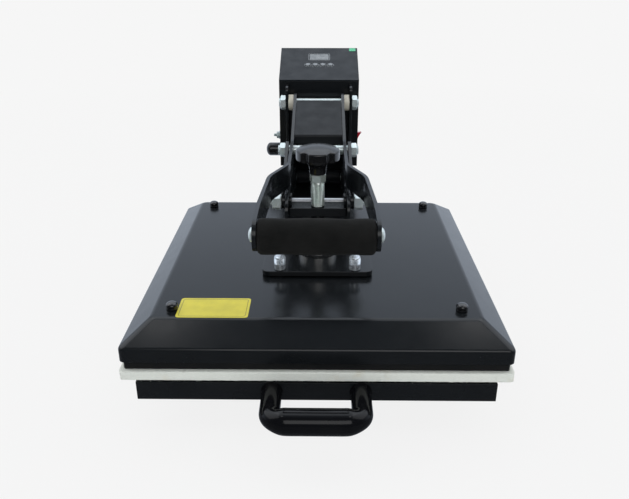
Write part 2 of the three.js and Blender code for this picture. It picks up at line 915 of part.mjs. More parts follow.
function makeKnob() {
  const hexBottom = rimLine + hexBottomRise;
  const hexTop = hexBottom + hexHeight;
  const screwBottom = pedestalTop - pedestalSheet - fit;
  const shank = rod(screwRadius, hexBottom - screwBottom + fit);
  const collar = rod(screwRadius + thrustCollarWidth, thrustCollarHeight);
  const tang = rod(screwRadius * nutTipShare, knobSkirt);
  const screw = join(
    shank.translate(0, 0, screwBottom),
    collar.clone().translate(0, 0, screwBottom - thrustCollarHeight),
    hexNut(hexAcross, hexHeight, "z").translate(0, 0, hexBottom),
    tang.translate(0, 0, hexTop - fit),
    collar.translate(0, 0, pedestalTop + fit),
  );
  place("pressure_screw", screw, "chrome", [0, frontPivotY, 0]);

  const lobeBottom = hexTop + fit + knobSkirt;
  const lobeTop = lobeBottom + knobLobeHeight;
  const top = lobeTop + knobDome;
  const body = loft([
    knobRing(knobHubRadius, 0, hexTop + fit),
    knobRing(knobWaistRadius, knobLobeDepth / 2, lobeBottom - knobSkirt / 2),
    knobRing(knobRadius - edgeRound, knobLobeDepth, lobeBottom),
    knobRing(knobRadius, knobLobeDepth, lobeBottom + edgeRound),
    knobRing(knobRadius, knobLobeDepth, lobeTop - edgeRound),
    knobRing(knobRadius - edgeRound, knobLobeDepth, lobeTop),
    knobRing(knobWaistRadius, knobLobeDepth / 4, lobeTop + knobDome / 2),
    knobRing(knobHubRadius / 2, 0, top),
  ]);
  const socket = rod(screwRadius * nutTipShare + fit, knobSkirt + 2 * fit);
  const knob = cut(body, socket.translate(0, 0, hexTop));
  place("pressure_knob", knob, "matPlastic", [0, frontPivotY, 0]);
}

// Handle lever

const leverOuter = leverInner + leverPlate;
const linkInner = leverOuter + linkGap;
const linkOuter = linkInner + linkPlate;

function leverPlan() {
  const t = leverPlate;
  const rear = topPivotY + leverTopRadius + overrun;
  const front = gripY - leverGripRadius - overrun;
  const bend = t / 3;
  const square = gripY + 2 * foamRadius;
  return roundedOutline([
    [leverInner, rear, fit],
    [leverInner, flareStartY + bend, t],
    [flareEndHalf - t, flareEndY + bend, t],
    [gripHalf - t, square, t],
    [gripHalf - t, front, fit],
    [gripHalf, front, fit],
    [gripHalf, square, t],
    [flareEndHalf, flareEndY - bend, t],
    [leverOuter, flareStartY - bend, t],
    [leverOuter, rear, fit],
  ]);
}

function leverSide() {
  const rear = strapOutline([...topPivot, leverTopRadius], [...kneePivot, leverKneeRadius]);
  const fore = strapOutline([...kneePivot, leverKneeRadius], [...gripCentre, leverGripRadius]);
  const reach = gripHalf + overrun;
  const steps = 3 * cornerSteps;
  return join(sidePlate(rear, -reach, reach, steps), sidePlate(fore, -reach, reach, steps));
}

function makeLever() {
  const profile = leverSide();
  const plan = slab(leverPlan(), 2 * topPivotRise);
  const bars = common(profile, plan);
  const screwHole = crossHole(gripCentre, gripScrewRadius + fit, gripHalf + overrun);
  for (const [word, side] of sides) {
    const bar = cut(
      bars,
      crossHole(topPivot, pinRadius + fit, gripHalf),
      crossHole(kneePivot, pinRadius + fit, gripHalf),
      screwHole,
    );
    place(`lever_bar_${word}`, mirrored(bar, side), "blackCoat");
  }

  makeLeverCover();

  place("knee_bolt", boltWithNut(kneePivot, linkOuter + fit, nutLongHeight), "zinc");

  const gripInner = gripHalf - leverPlate - fit;
  const foamHalf = gripInner - fit;
  const foamProfile = [[0, -foamHalf], [foamRadius - foamRound, -foamHalf]];
  const roundSteps = 4;
  for (const end of [-1, 1]) {
    for (let step = 1; step < roundSteps; step += 1) {
      const quarter = (Math.PI / 2) * (step / roundSteps);
      const turn = end < 0 ? quarter : Math.PI / 2 - quarter;
      const radius = foamRadius - foamRound + foamRound * Math.sin(turn);
      foamProfile.push([radius, end * (foamHalf - foamRound + foamRound * Math.cos(turn))]);
    }
    if (end < 0) foamProfile.push([foamRadius, foamRound - foamHalf], [foamRadius, foamHalf - foamRound]);
  }
  foamProfile.push([foamRadius - foamRound, foamHalf], [0, foamHalf]);
  const foam = turned(foamProfile, "x");
  const foamBore = rod(gripTubeRadius + fit, 2 * gripHalf, "x").translate(-gripHalf, 0, 0);
  place("foam_grip", cut(foam, foamBore), "foam", [0, ...gripCentre]);

  const ends = sides.map(([, side]) => {
    const seated = gripEnd().translate(gripHalf + fit, ...gripCentre);
    return mirrored(seated, side);
  });
  place("grip_rod", join(crossHole(gripCentre, gripTubeRadius, gripInner), ...ends), "zinc");
}

// Domed screw head at an end of the grip rod, with its shank through the lever bar
function gripEnd() {
  const head = [];
  const steps = 4;
  for (let step = 0; step <= steps; step += 1) {
    const angle = (Math.PI / 2) * (step / steps);
    head.push([gripScrewHeadRadius * Math.cos(angle), gripScrewHeadHeight * Math.sin(angle)]);
  }
  head[steps][0] = 0;
  const shankLength = leverPlate + 2 * fit + overrun;
  return join(
    turned([[0, 0], ...head], "x"),
    rod(gripScrewRadius, shankLength, "-x").translate(fit, 0, 0),
  );
}

// Grey sheet that closes the lever between its bars, from the top pivot to the knee
function makeLeverCover() {
  const half = leverInner - fit;
  const [ty, tz] = topPivot;
  const [ky, kz] = kneePivot;
  const slope = (tz - kz) / (ty - ky);
  const lift = leverKneeRadius - leverCoverSheet;
  const heightAt = (y) => kz + slope * (y - ky) + lift;
  const rearY = ty - leverCoverRearGap;
  const sheet = leverCoverSheet;
  const frontY = kneePivotY + leverCoverSetback;
  const outline = roundedOutline([
    [rearY, heightAt(rearY), sheet / 3],
    [rearY, heightAt(rearY) + sheet, sheet / 3],
    [frontY, heightAt(frontY) + sheet, 2 * sheet],
    [frontY, heightAt(frontY) - leverCoverDrop, sheet / 3],
    [frontY + sheet, heightAt(frontY) - leverCoverDrop, sheet / 3],
    [frontY + sheet, heightAt(frontY + sheet), sheet],
  ]);
  place("lever_cover", sidePlate(outline, -half, half), "greyCoat");
}

// Toggle links

function makeLinks() {
  const outline = strapOutline([...kneePivot, linkKneeRadius], [...frontPivot, linkFrontRadius]);
  const nut = nutWithTip(nutAcross, nutLongHeight - nutTipLength, "x");
  const stub = rod(pinRadius, linkPlate + 2 * fit, "-x");
  const bolt = join(nut, stub.translate(fit, 0, 0));
  bolt.translate(linkOuter + fit, ...frontPivot);
  for (const [word, side] of sides) {
    const link = cut(
      sidePlate(outline, linkInner, linkOuter, 2 * cornerSteps),
      crossHole(kneePivot, pinRadius + fit, linkOuter + overrun),
      crossHole(frontPivot, pinRadius + fit, linkOuter + overrun),
    );
    place(`toggle_link_${word}`, mirrored(link, side), "blackCoat");
    place(`front_pivot_bolt_${word}`, mirrored(bolt, side), "zinc");
  }
}

// Column

const columnOuter = columnInner + columnPlate;

// One channel folded round the arm, with its web at the back and its feet on the rear tube
function makeColumn() {
  const foot = baseTop + fit;
  const top = rimLine + columnRise;
  const back = columnBack;
  const outline = roundedOutline([
    [columnFront, foot, fit],
    [back, foot, fit],
    [back, top, columnCorner],
    [columnFront, top, columnCorner],
  ]);
  const footTop = foot + columnPlate;
  const flange = block(columnOuter - fit, columnOuter + columnFoot, columnFront, back, foot, footTop);
  const plate = join(sidePlate(outline, columnInner, columnOuter), flange);
  const webHalf = columnInner + fit;
  const webTop = rimLine + boxArmClearRise - fit;
  const webBack = back - fit;
  const web = block(-webHalf, webHalf, webBack - columnPlate, webBack, foot + fit, webTop);
  const channel = cut(
    join(...sides.map(([, side]) => mirrored(plate, side)), web),
    crossHole(topPivot, pinRadius + fit, columnOuter + overrun),
    crossHole(rearPivot, pinRadius + fit, columnOuter + overrun),
  );
  place("column_channel", channel, "blackCoat");

  place("top_pivot_bolt", boltWithNut(topPivot, columnOuter + fit, nutHeight), "zinc");
  const shoulder = rod(bushRadius, columnInner - armOuter - 2 * fit, "x");
  shoulder.translate(armOuter + fit, ...rearPivot);
  const shoulders = sides.map(([, side]) => mirrored(shoulder, side));
  const rearBolt = join(boltWithNut(rearPivot, columnOuter + fit, nutHeight), ...shoulders);
  place("rear_pivot_bolt", rearBolt, "zinc");

  const bush = cut(
    rod(bushRadius, columnInner - leverOuter - 2 * fit, "x").translate(leverOuter + fit, ...topPivot),
    crossHole(topPivot, pinRadius + fit, columnInner),
  );
  for (const [word, side] of sides) {
    place(`pivot_bush_${word}`, mirrored(bush, side), "nylon");
  }
}

// Control box

const panelTilt = Math.atan2(boxBackRise - boxFrontRise, boxBack - boxFront);
const panelLength = Math.hypot(boxBackRise - boxFrontRise, boxBack - boxFront);
const wallX = boxHalfWidth;

function boxOutline(inset, rearPast, topPast) {
  const y0 = boxFront + inset;
  const y1 = boxBack + rearPast;
  const slope = Math.tan(panelTilt);
  const z0 = rimLine + boxBottomRise + inset;
  const topAt = (y) => rimLine + boxFrontRise + slope * (y - boxFront) + topPast;
  return roundedOutline([
    [y0, z0, boxCornerRound],
    [y1, z0, fit],
    [y1, topAt(y1), fit],
    [y0, topAt(y0), fit],
  ]);
}

function makeBox() {
  const sheet = boxSheet;
  const outer = sidePlate(boxOutline(0, 0, 0), -wallX, wallX);
  const inner = sidePlate(boxOutline(sheet, overrun, overrun), -wallX + sheet, wallX - sheet);
  const gap = fit;
  const slots = sides.map(([, side]) => {
    const slot = block(
      columnInner - gap,
      columnOuter + gap,
      columnFront - overrun,
      columnBack + gap,
      rimLine,
      rimLine + columnRise + gap,
    );
    return mirrored(slot, side);
  });
  const armRoom = block(
    -columnInner,
    columnInner,
    boxFront - overrun,
    columnBack + gap,
    rimLine,
    rimLine + boxArmClearRise,
  );
  const rockerRoom = block(
    wallX - sheet - overrun,
    wallX + overrun,
    fittingY - rockerHeight / 2 - fit,
    fittingY + rockerHeight / 2 + fit,
    rimLine + rockerRise - rockerLength / 2 - fit,
    rimLine + rockerRise + rockerLength / 2 + fit,
  );
  const fuseHole = rod(fuseRadius / 2 + fit, 2 * overrun, "x");
  const glandHole = rod(glandTipRadius + fit, 2 * overrun, "x");
  const shell = cut(
    outer,
    inner,
    ...slots,
    armRoom,
    rockerRoom,
    fuseHole.translate(-wallX - overrun, fittingY, rimLine + fuseRise),
    glandHole.translate(-wallX - overrun, fittingY, rimLine + glandRise),
  );
  place("control_box_shell", shell, "blackCoat");

  makeBackCover();
  makePanel();
  makeSwitch();
  makeFittings();
  makeBoard();
}

function makeBackCover() {
  const y0 = boxBack + fit;
  const y1 = y0 + boxSheet;
  const z0 = rimLine + boxBottomRise;
  const z1 = rimLine + boxBackRise - fit;
  const inletZ = rimLine + inletRise;
  const cover = block(-wallX, wallX, y0, y1, z0, z1);
  const inletHole = block(
    -inletWidth / 2 - fit,
    inletWidth / 2 + fit,
    y0 - overrun,
    y1 + overrun,
    inletZ - inletHeight / 2 - fit,
    inletZ + inletHeight / 2 + fit,
  );
  place("control_box_back", cut(cover, inletHole), "blackCoat");

  const body = block(
    -inletWidth / 2,
    inletWidth / 2,
    y0 - inletBody,
    y1 + fit + fit,
    -inletHeight / 2,
    inletHeight / 2,
  );
  const bezel = block(
    -inletWidth / 2 - inletBezel,
    inletWidth / 2 + inletBezel,
    y1 + fit,
    y1 + fit + inletBezelThickness,
    -inletHeight / 2 - inletBezel,
    inletHeight / 2 + inletBezel,
  );
  const mouth = block(
    -inletWidth / 2 + inletRim,
    inletWidth / 2 - inletRim,
    y1 + inletBezelThickness - inletDepth,
    y1 + overrun,
    -inletHeight / 2 + inletRim,
    inletHeight / 2 - inletRim,
  );
  const pins = [-inletPinPitch, 0, inletPinPitch].map((x) => block(
    x - inletPinThickness / 2,
    x + inletPinThickness / 2,
    y1 + inletBezelThickness - inletDepth - fit,
    y1,
    -inletPinWidth / 2,
    inletPinWidth / 2,
  ));
  const inlet = join(cut(join(body, bezel), mouth), ...pins);
  place("power_inlet", inlet, "matPlastic", [0, 0, inletZ]);
}

// The panel lies in a turned group, its front edge on the front of the box
function makePanel() {
  const face = new THREE.Group();
  face.position.set(0, boxFront, rimLine + boxFrontRise + fit);
  face.rotation.x = panelTilt;
  press.add(face);

  const windowY = panelLength * windowPlaceShare;
  const buttonY = panelLength * buttonPlaceShare;
  const buttonXs = [];
  for (let index = 0; index < buttonCount; index += 1) {
    buttonXs.push((index - (buttonCount - 1) / 2) * buttonPitch);
  }
  const windowHole = block(
    -windowWidth / 2 - fit,
    windowWidth / 2 + fit,
    windowY - windowHeight / 2 - fit,
    windowY + windowHeight / 2 + fit,
    panelSheet - windowThickness,
    panelSheet + overrun,
  );
  const buttonHoles = buttonXs.map((x) => {
    const hole = rod(buttonRadius + fit, panelSheet + 2 * overrun);
    return hole.translate(x, buttonY, -overrun);
  });
  const panel = block(-wallX, wallX, 0, panelLength + boxSheet, 0, panelSheet);
  place("control_panel", cut(panel, windowHole, ...buttonHoles), "greyCoat", [0, 0, 0], face);

  const pane = slab(roundedRectangle(windowWidth, windowHeight, windowThickness), windowThickness - fit);
  const paneZ = panelSheet - windowThickness + fit;
  place("display_window", pane, "glass", [0, windowY, paneZ], face);

  const words = ["mode", "down", "up", "set"];
  buttonXs.forEach((x, index) => {
    const cap = turned([
      [0, -buttonStem],
      [buttonRadius, -buttonStem],
      [buttonRadius, buttonHeight * nutTipShare],
      [buttonRadius * nutTipShare, buttonHeight],
      [0, buttonHeight],
    ]);
    const name = `button_${words[index]}`;
    place(name, cap, "button", [x, buttonY, panelSheet], face);
  });
}

// The switch is drawn lying along Y and then stood upright
function makeSwitch() {
  const length = rockerLength;
  const height = rockerHeight;
  const wall = boxSheet;
  const outside = wallX + fit;
  const body = block(wallX - rockerBody, outside + fit, -length / 2, length / 2, -height / 2, height / 2);
  const rim = block(
    outside,
    outside + rockerBezelThickness,
    -length / 2 - rockerBezel,
    length / 2 + rockerBezel,
    -height / 2 - rockerBezel,
    height / 2 + rockerBezel,
  );
  const well = block(
    wallX - rockerBody + wall,
    outside + overrun,
    -length / 2 + wall,
    length / 2 - wall,
    -height / 2 + wall,
    height / 2 - wall,
  );
  const centre = [0, fittingY, rimLine + rockerRise];
  const housing = cut(join(body, rim), well).rotateX(Math.PI / 2);
  place("rocker_housing", housing, "matPlastic", centre);

  const gap = wall + 2 * fit;
  const y = length / 2 - rockerEndGap;
  const face = outside + rockerBezelThickness;
  const root = wallX;
  const outline = new THREE.Shape();
  outline.moveTo(root, -y / 3);
  outline.lineTo(face + rockerLow - rockerBezelThickness, -y);
  outline.quadraticCurveTo(face, 0, face + rockerProud - rockerBezelThickness, y);
  outline.lineTo(root, y / 3);
  outline.closePath();
  const rocker = slab(outline, height - 2 * gap, cornerSteps);
  rocker.translate(0, 0, -height / 2 + gap).rotateX(Math.PI / 2);
  place("rocker_switch", rocker, "red", centre);
}

function makeFittings() {
  const domeSteps = 5;
  const dome = [];
  for (let step = 0; step <= domeSteps; step += 1) {
    const angle = (Math.PI / 2) * (step / domeSteps);
    const height = fuseReach - fuseRadius / 2 + (fuseRadius / 2) * Math.sin(angle);
    dome.push([fuseRadius * Math.cos(angle), height]);
  }
  dome[domeSteps][0] = 0;
  const cap = turned([
    [0, 0],
    [fuseRadius + fuseFlange, 0],
    [fuseRadius + fuseFlange, fuseFlange],
    [fuseRadius, fuseFlange],
    ...dome,
  ], "-x");
  const fuseBarrel = rod(fuseRadius / 2, fuseBody + fit, "x");
  const fuse = join(cap, fuseBarrel.translate(-fit, 0, 0));
  place("fuse_holder", fuse, "glossPlastic", [-wallX - fit, fittingY, rimLine + fuseRise]);

  const nose = turned([
    [0, 0],
    [glandRadius, 0],
    [glandRadius, glandReach / 2],
    [glandTipRadius, glandReach / 2],
    [glandTipRadius, glandReach],
    [0, glandReach],
  ], "-x");
  const stem = rod(glandTipRadius, glandBody + fit, "x");
  const gland = join(nose, stem.translate(-fit, 0, 0));
  place("earth_terminal", gland, "zinc", [-wallX - fit, fittingY, rimLine + glandRise]);
}

function makeBoard() {
  const face = new THREE.Group();
  face.position.set(0, boxFront, rimLine + boxFrontRise);
  face.rotation.x = panelTilt;
  press.add(face);
  const top = -buttonStem - buttonTravel - 2 * fit;
  const bottom = top - boardThickness;
  const y0 = (panelLength - boardDepth) / 2;
  const board = block(-boardWidth / 2, boardWidth / 2, y0, y0 + boardDepth, bottom, top);
  const chips = [];
  const pitch = boardWidth / chipCount;
  for (let index = 0; index < chipCount; index += 1) {
    const x = (index - (chipCount - 1) / 2) * pitch;
    const size = pitch / 3;
    const low = bottom - chipHeight;
    chips.push(block(x - size, x + size, y0 + size, y0 + boardDepth - size, low, bottom + fit));
  }
  const postX = boardWidth / 2 - boardStandoffRadius;
  const posts = [];
  for (const x of [-postX, postX]) {
    for (const y of [y0 + boardStandoff, y0 + boardDepth - boardStandoff]) {
      posts.push(rod(boardStandoffRadius, -top, "z", 12).translate(x, y, top - fit));
    }
  }
  place("circuit_board", join(board, ...chips, ...posts), "board", [0, 0, 0], face);
}

makeBase();
makeDrawer();
makeHead();
makeFlange();
makeArm();
makeKnob();
makeLever();
makeLinks();
makeColumn();
makeBox();

// The pieces are placed from the middle of the plates, so the whole press moves to its own middle
const reachFront = handleReach + handleBar / 2 - trayFront;
const reachBack = boxBack + fit + boxSheet + fit + inletBezelThickness;
press.position.y = (reachFront - reachBack) / 2;

export default press;
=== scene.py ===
import random
from math import acos, atan2, ceil, cos, exp, hypot, pi, radians, sin, sqrt, tan

import bmesh
import bpy
from mathutils import Matrix, Vector, noise


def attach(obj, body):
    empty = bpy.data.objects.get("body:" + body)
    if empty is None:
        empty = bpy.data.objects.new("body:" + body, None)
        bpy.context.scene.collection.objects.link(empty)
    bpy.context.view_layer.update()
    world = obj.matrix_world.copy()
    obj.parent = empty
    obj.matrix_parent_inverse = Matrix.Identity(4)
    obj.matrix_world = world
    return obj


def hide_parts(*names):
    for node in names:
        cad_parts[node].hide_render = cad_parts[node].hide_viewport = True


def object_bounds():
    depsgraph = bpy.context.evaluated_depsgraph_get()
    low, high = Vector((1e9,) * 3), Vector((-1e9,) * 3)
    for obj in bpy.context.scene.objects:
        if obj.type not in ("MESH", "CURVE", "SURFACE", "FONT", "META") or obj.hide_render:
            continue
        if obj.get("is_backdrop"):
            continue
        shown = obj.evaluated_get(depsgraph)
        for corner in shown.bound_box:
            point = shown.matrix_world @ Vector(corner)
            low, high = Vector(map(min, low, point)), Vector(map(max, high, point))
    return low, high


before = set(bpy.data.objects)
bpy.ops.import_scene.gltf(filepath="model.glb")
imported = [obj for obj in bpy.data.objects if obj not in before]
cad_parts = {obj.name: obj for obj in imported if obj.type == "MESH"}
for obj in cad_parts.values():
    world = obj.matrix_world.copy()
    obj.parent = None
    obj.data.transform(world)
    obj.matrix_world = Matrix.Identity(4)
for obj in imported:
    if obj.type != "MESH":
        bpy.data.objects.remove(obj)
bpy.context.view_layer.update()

random.seed(11)

# Lengths below are millimetres from the middle of the pressing plates, at table level
MM = 0.001
SHIFT = Vector((0.0, -26.3, 0.0))
SIDES = (("left", -1), ("right", 1))

# Heights of the fold round the cover and of its top, and the axis of the pressure screw
RIM = 99.0
COVER_TOP = 118.7
SCREW_Y = -15.0
SCREW = (0, SCREW_Y, 0)

# Pivots that run along X, as places in Y and Z
TOP_PIVOT = (208.0, 253.7)
REAR_PIVOT = (228.0, 137.0)
FRONT_PIVOT = (SCREW_Y, 188.0)
KNEE = (91.0, 218.2)
GRIP = (-168.0, 210.0)


# Materials

def shader_of(made):
    return made.node_tree.nodes["Principled BSDF"]


def set_inputs(node, **values):
    for key, value in values.items():
        node.inputs[key.replace("_", " ")].default_value = value


def new_material(name, color, rough, metal=0.0, specular=0.5, coat=0.0, sheen=0.0):
    made = bpy.data.materials.new(name)
    made.use_nodes = True
    set_inputs(
        shader_of(made), Base_Color=(*color, 1.0), Roughness=rough, Metallic=metal,
        Specular_IOR_Level=specular, Coat_Weight=coat, Coat_Roughness=0.1, Sheen_Weight=sheen,
    )
    return made


def texture(made, scale, stretch=(1, 1, 1), kind="Noise", **inputs):
    """Value of a pattern that keeps its place on the piece."""
    nodes, links = made.node_tree.nodes, made.node_tree.links
    coordinates = nodes.new("ShaderNodeTexCoord")
    mapping = nodes.new("ShaderNodeMapping")
    pattern = nodes.new("ShaderNodeTex" + kind)
    set_inputs(mapping, Scale=stretch)
    set_inputs(pattern, Scale=scale, **inputs)
    links.new(coordinates.outputs["Object"], mapping.inputs["Vector"])
    links.new(mapping.outputs["Vector"], pattern.inputs["Vector"])
    return pattern.outputs["Distance" if kind == "Voronoi" else "Fac"]


def spread(made, source, low=0.0, high=1.0, from_low=0.3, from_high=0.7):
    node = made.node_tree.nodes.new("ShaderNodeMapRange")
    set_inputs(node, From_Min=from_low, From_Max=from_high, To_Min=low, To_Max=high)
    made.node_tree.links.new(source, node.inputs["Value"])
    return node.outputs["Result"]


def blend_colors(made, factor, first, second):
    node = made.node_tree.nodes.new("ShaderNodeMix")
    node.data_type = "RGBA"
    for socket, value in ((node.inputs[6], first), (node.inputs[7], second)):
        if isinstance(value, bpy.types.NodeSocket):
            made.node_tree.links.new(value, socket)
        else:
            socket.default_value = (*value, 1.0)
    made.node_tree.links.new(factor, node.inputs[0])
    return node.outputs[2]


def drive(made, key, source):
    made.node_tree.links.new(source, shader_of(made).inputs[key])


def mottle(made, pattern, first, second):
    drive(made, "Base Color", blend_colors(made, pattern, first, second))


def set_bump(made, source, distance):
    """A bump of this height, over the bumps that are there already."""
    tree = made.node_tree
    normal = shader_of(made).inputs["Normal"]
    bump = tree.nodes.new("ShaderNodeBump")
    set_inputs(bump, Distance=distance, Strength=1.0)
    tree.links.new(source, bump.inputs["Height"])
    if normal.is_linked:
        tree.links.new(normal.links[0].from_socket, bump.inputs["Normal"])
    tree.links.new(bump.outputs["Normal"], normal)


def coated(name, color, rough, specular=0.5, peel=2e-5, tint=0.12, coat=0.0):
    """Paint or plastic with a faint change of shade and an orange-peel skin."""
    made = new_material(name, color, rough, specular=specular, coat=coat)
    lighter = tuple(min(1.0, part * (1 + tint) + 0.001) for part in color)
    darker = tuple(part * (1 - tint) for part in color)
    mottle(made, spread(made, texture(made, 22.0, Detail=3.0)), darker, lighter)
    haze = texture(made, 60.0, Detail=4.0)
    drive(made, "Roughness", spread(made, haze, rough * 0.86, rough * 1.16))
    set_bump(made, texture(made, 620.0, Detail=2.0), peel)
    return made


def plated(
    name, color, rough, streak=(1, 1, 1), tint=(0.9, 0.96, 1.0), grain=1.2e-5, metal=1.0,
):
    """Bare or plated metal, with its grain drawn out by streak."""
    made = new_material(name, color, rough, metal=metal)
    other = tuple(part * shade for part, shade in zip(color, tint))
    mottle(made, spread(made, texture(made, 140.0, Detail=3.0)), color, other)
    fine = texture(made, 1400.0, streak, Detail=3.0)
    drive(made, "Roughness", spread(made, fine, rough * 0.7, rough * 1.35))
    set_bump(made, fine, grain)
    return made


black_coat = coated("black_coat", (0.0065, 0.0078, 0.0092), 0.20, 0.26, peel=6e-6, tint=0.06)
frame_coat = coated("frame_coat", (0.0060, 0.0066, 0.0076), 0.30, 0.22, peel=1e-5, tint=0.08)
grey_coat = coated("grey_coat", (0.0062, 0.0075, 0.0092), 0.46, 0.18)
panel_film = coated("panel_film", (0.0064, 0.0092, 0.0128), 0.46, 0.24, peel=6e-6, tint=0.05)
gloss_plastic = coated("gloss_plastic", (0.0036, 0.0038, 0.0048), 0.12, 0.18, peel=4e-6, tint=0.05)
knob_plastic = coated("knob_plastic", (0.0075, 0.0075, 0.0085), 0.22, 0.42, peel=8e-6, tint=0.06)
cap_gloss = coated("cap_gloss", (0.0040, 0.0042, 0.0048), 0.10, peel=2e-6, tint=0.05, coat=0.2)
matte_plastic = coated("matte_plastic", (0.011, 0.011, 0.012), 0.46, 0.3, peel=1e-5)
red_plastic = coated("red_plastic", (0.55, 0.016, 0.035), 0.22, peel=6e-6, tint=0.06)
nylon = coated("nylon", (0.62, 0.59, 0.50), 0.42, 0.4, peel=1e-5, tint=0.07)
cap_plastic = coated("cap_plastic", (0.20, 0.22, 0.24), 0.4, 0.4, peel=8e-6, tint=0.05)
green_film = coated("green_film", (0.03, 0.42, 0.20), 0.25, peel=1e-5, tint=0.1)
board = coated("board", (0.010, 0.085, 0.035), 0.35, 0.45, tint=0.25)

zinc = plated("zinc", (0.62, 0.66, 0.67), 0.30, tint=(0.86, 0.95, 0.93), metal=0.5)
chrome = plated("chrome", (0.68, 0.72, 0.70), 0.22, tint=(0.9, 1.0, 0.95), grain=6e-6, metal=0.7)
stud_zinc = plated("stud_zinc", (0.66, 0.69, 0.72), 0.24, grain=6e-6, metal=0.75)
turned_steel = plated("turned_steel", (0.42, 0.43, 0.44), 0.34, (1, 0.08, 1), (0.85, 0.86, 0.9))
cup_steel = plated("cup_steel", (0.80, 0.80, 0.78), 0.20, (1, 1, 0.1), (0.9, 0.9, 0.9), metal=0.85)
rail_zinc = plated("rail_zinc", (0.50, 0.53, 0.55), 0.32, (1, 0.05, 1))


def make_label(name, color, rough):
    made = new_material(name, color, rough, specular=0.4)
    faded = tuple(part * 0.82 for part in color)
    mottle(made, spread(made, texture(made, 70.0, Detail=5.0)), faded, color)
    set_bump(made, texture(made, 160.0, Detail=2.0), 4e-5)
    return made


rubber = new_material("rubber", (0.012, 0.012, 0.012), 0.85, specular=0.25)
mottle(rubber, texture(rubber, 90.0, Detail=4.0), (0.009, 0.009, 0.009), (0.02, 0.019, 0.018))
set_bump(rubber, texture(rubber, 900.0, Detail=4.0), 6e-5)

foam = new_material("foam", (0.008, 0.008, 0.008), 0.93, specular=0.1, sheen=0.03)
shade = spread(foam, texture(foam, 45.0, Detail=5.0))
mottle(foam, shade, (0.0052, 0.0056, 0.0054), (0.0105, 0.0105, 0.0102))
set_bump(foam, texture(foam, 1500.0, kind="Voronoi"), 1.4e-4)
set_bump(foam, texture(foam, 260.0, Detail=6.0), 1.8e-4)

felt = new_material("felt", (0.66, 0.68, 0.64), 0.96, specular=0.15, sheen=0.15)
fibres = texture(felt, 900.0, (0.25, 0.25, 1.6), Detail=6.0, Roughness=0.7)
base = blend_colors(felt, spread(felt, fibres), (0.69, 0.72, 0.665), (0.81, 0.84, 0.79))
beige = spread(felt, texture(felt, 26.0, Detail=3.0), 0, 0.7, 0.60, 0.82)
stained = blend_colors(felt, beige, base, (0.66, 0.59, 0.42))
soil = spread(felt, texture(felt, 120.0, Detail=5.0), 0, 0.6, 0.62, 0.8)
mottle(felt, soil, stained, (0.52, 0.54, 0.49))
set_bump(felt, fibres, 3e-4)
set_bump(felt, texture(felt, 2600.0, Detail=4.0), 1.2e-4)

platen_metal = new_material("platen_metal", (0.008, 0.008, 0.009), 0.42, specular=0.18)
shade = spread(platen_metal, texture(platen_metal, 30.0, Detail=5.0))
mottle(platen_metal, shade, (0.006, 0.007, 0.008), (0.011, 0.011, 0.011))
milled = texture(platen_metal, 500.0, (1, 0.06, 1), Detail=3.0)
drive(platen_metal, "Roughness", spread(platen_metal, milled, 0.34, 0.52))
set_bump(platen_metal, milled, 2e-5)

wool = new_material("wool", (0.55, 0.50, 0.34), 1.0, specular=0.1)
fibres = texture(wool, 300.0, (1, 3, 1), Detail=6.0)
mottle(wool, fibres, (0.42, 0.38, 0.24), (0.68, 0.63, 0.46))
set_bump(wool, fibres, 8e-4)

display = new_material("display", (0.16, 0.175, 0.19), 0.18, specular=0.4)
shade = spread(display, texture(display, 240.0, Detail=2.0))
mottle(display, shade, (0.12, 0.135, 0.15), (0.20, 0.215, 0.23))

yellow_film = make_label("yellow_film", (0.68, 0.60, 0.045), 0.34)
label_ink = make_label("label_ink", (0.012, 0.012, 0.012), 0.4)
segment_ink = make_label("segment_ink", (0.26, 0.28, 0.30), 0.4)


# Mesh code

class Form:
    """Vertices and faces gathered from several shapes, in millimetres."""

    def __init__(self):
        self.verts = []
        self.faces = []
        self.slots = []

    def add(self, shape, where=None, slot=0):
        verts, faces = shape
        start = len(self.verts)
        for vert in verts:
            point = Vector(vert)
            self.verts.append(where @ point if where else point)
        self.faces += [[start + index for index in face] for face in faces]
        self.slots += [slot] * len(faces)
        return self


def spin(angle, axis="Z"):
    return Matrix.Rotation(angle, 4, axis)


def place(origin, axis="z"):
    """Where a shape drawn along Z goes, with its Z turned to this axis."""
    turn = {
        "z": Matrix.Identity(4),
        "x": spin(pi / 2, "Y"),
        "-x": spin(-pi / 2, "Y"),
        "y": spin(-pi / 2, "X"),
    }[axis]
    return Matrix.Translation(Vector(origin)) @ turn


def outward(side, x, y, z):
    """A place on one side of the middle, facing away from it."""
    return place((x * side, y, z), "x" if side > 0 else "-x")


def new_object(name, data):
    obj = bpy.data.objects.new(name, data)
    bpy.context.scene.collection.objects.link(obj)
    return obj


def finish_piece(obj, body, node, edge, steps, sharp):
    """Cleans the mesh, rounds its edges, hangs the piece on its body and hides the part that it
    replaces.
    """
    mesh = obj.data
    work = bmesh.new()
    work.from_mesh(mesh)
    bmesh.ops.remove_doubles(work, verts=work.verts, dist=1e-7)
    bmesh.ops.dissolve_degenerate(work, edges=work.edges, dist=1e-7)
    bmesh.ops.recalc_face_normals(work, faces=work.faces)
    work.to_mesh(mesh)
    work.free()
    mesh.polygons.foreach_set("use_smooth", [True] * len(mesh.polygons))
    mesh.set_sharp_from_angle(angle=radians(sharp))
    if edge:
        bevel = obj.modifiers.new("edge", "BEVEL")
        bevel.width = edge * MM
        bevel.segments = steps
        bevel.limit_method = "ANGLE"
        bevel.angle_limit = radians(40)
        bevel.use_clamp_overlap = True
    weigh = obj.modifiers.new("normals", "WEIGHTED_NORMAL")
    weigh.keep_sharp = edge == 0
    weigh.weight = 50
    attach(obj, body)
    if node:
        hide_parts(node)
    return obj


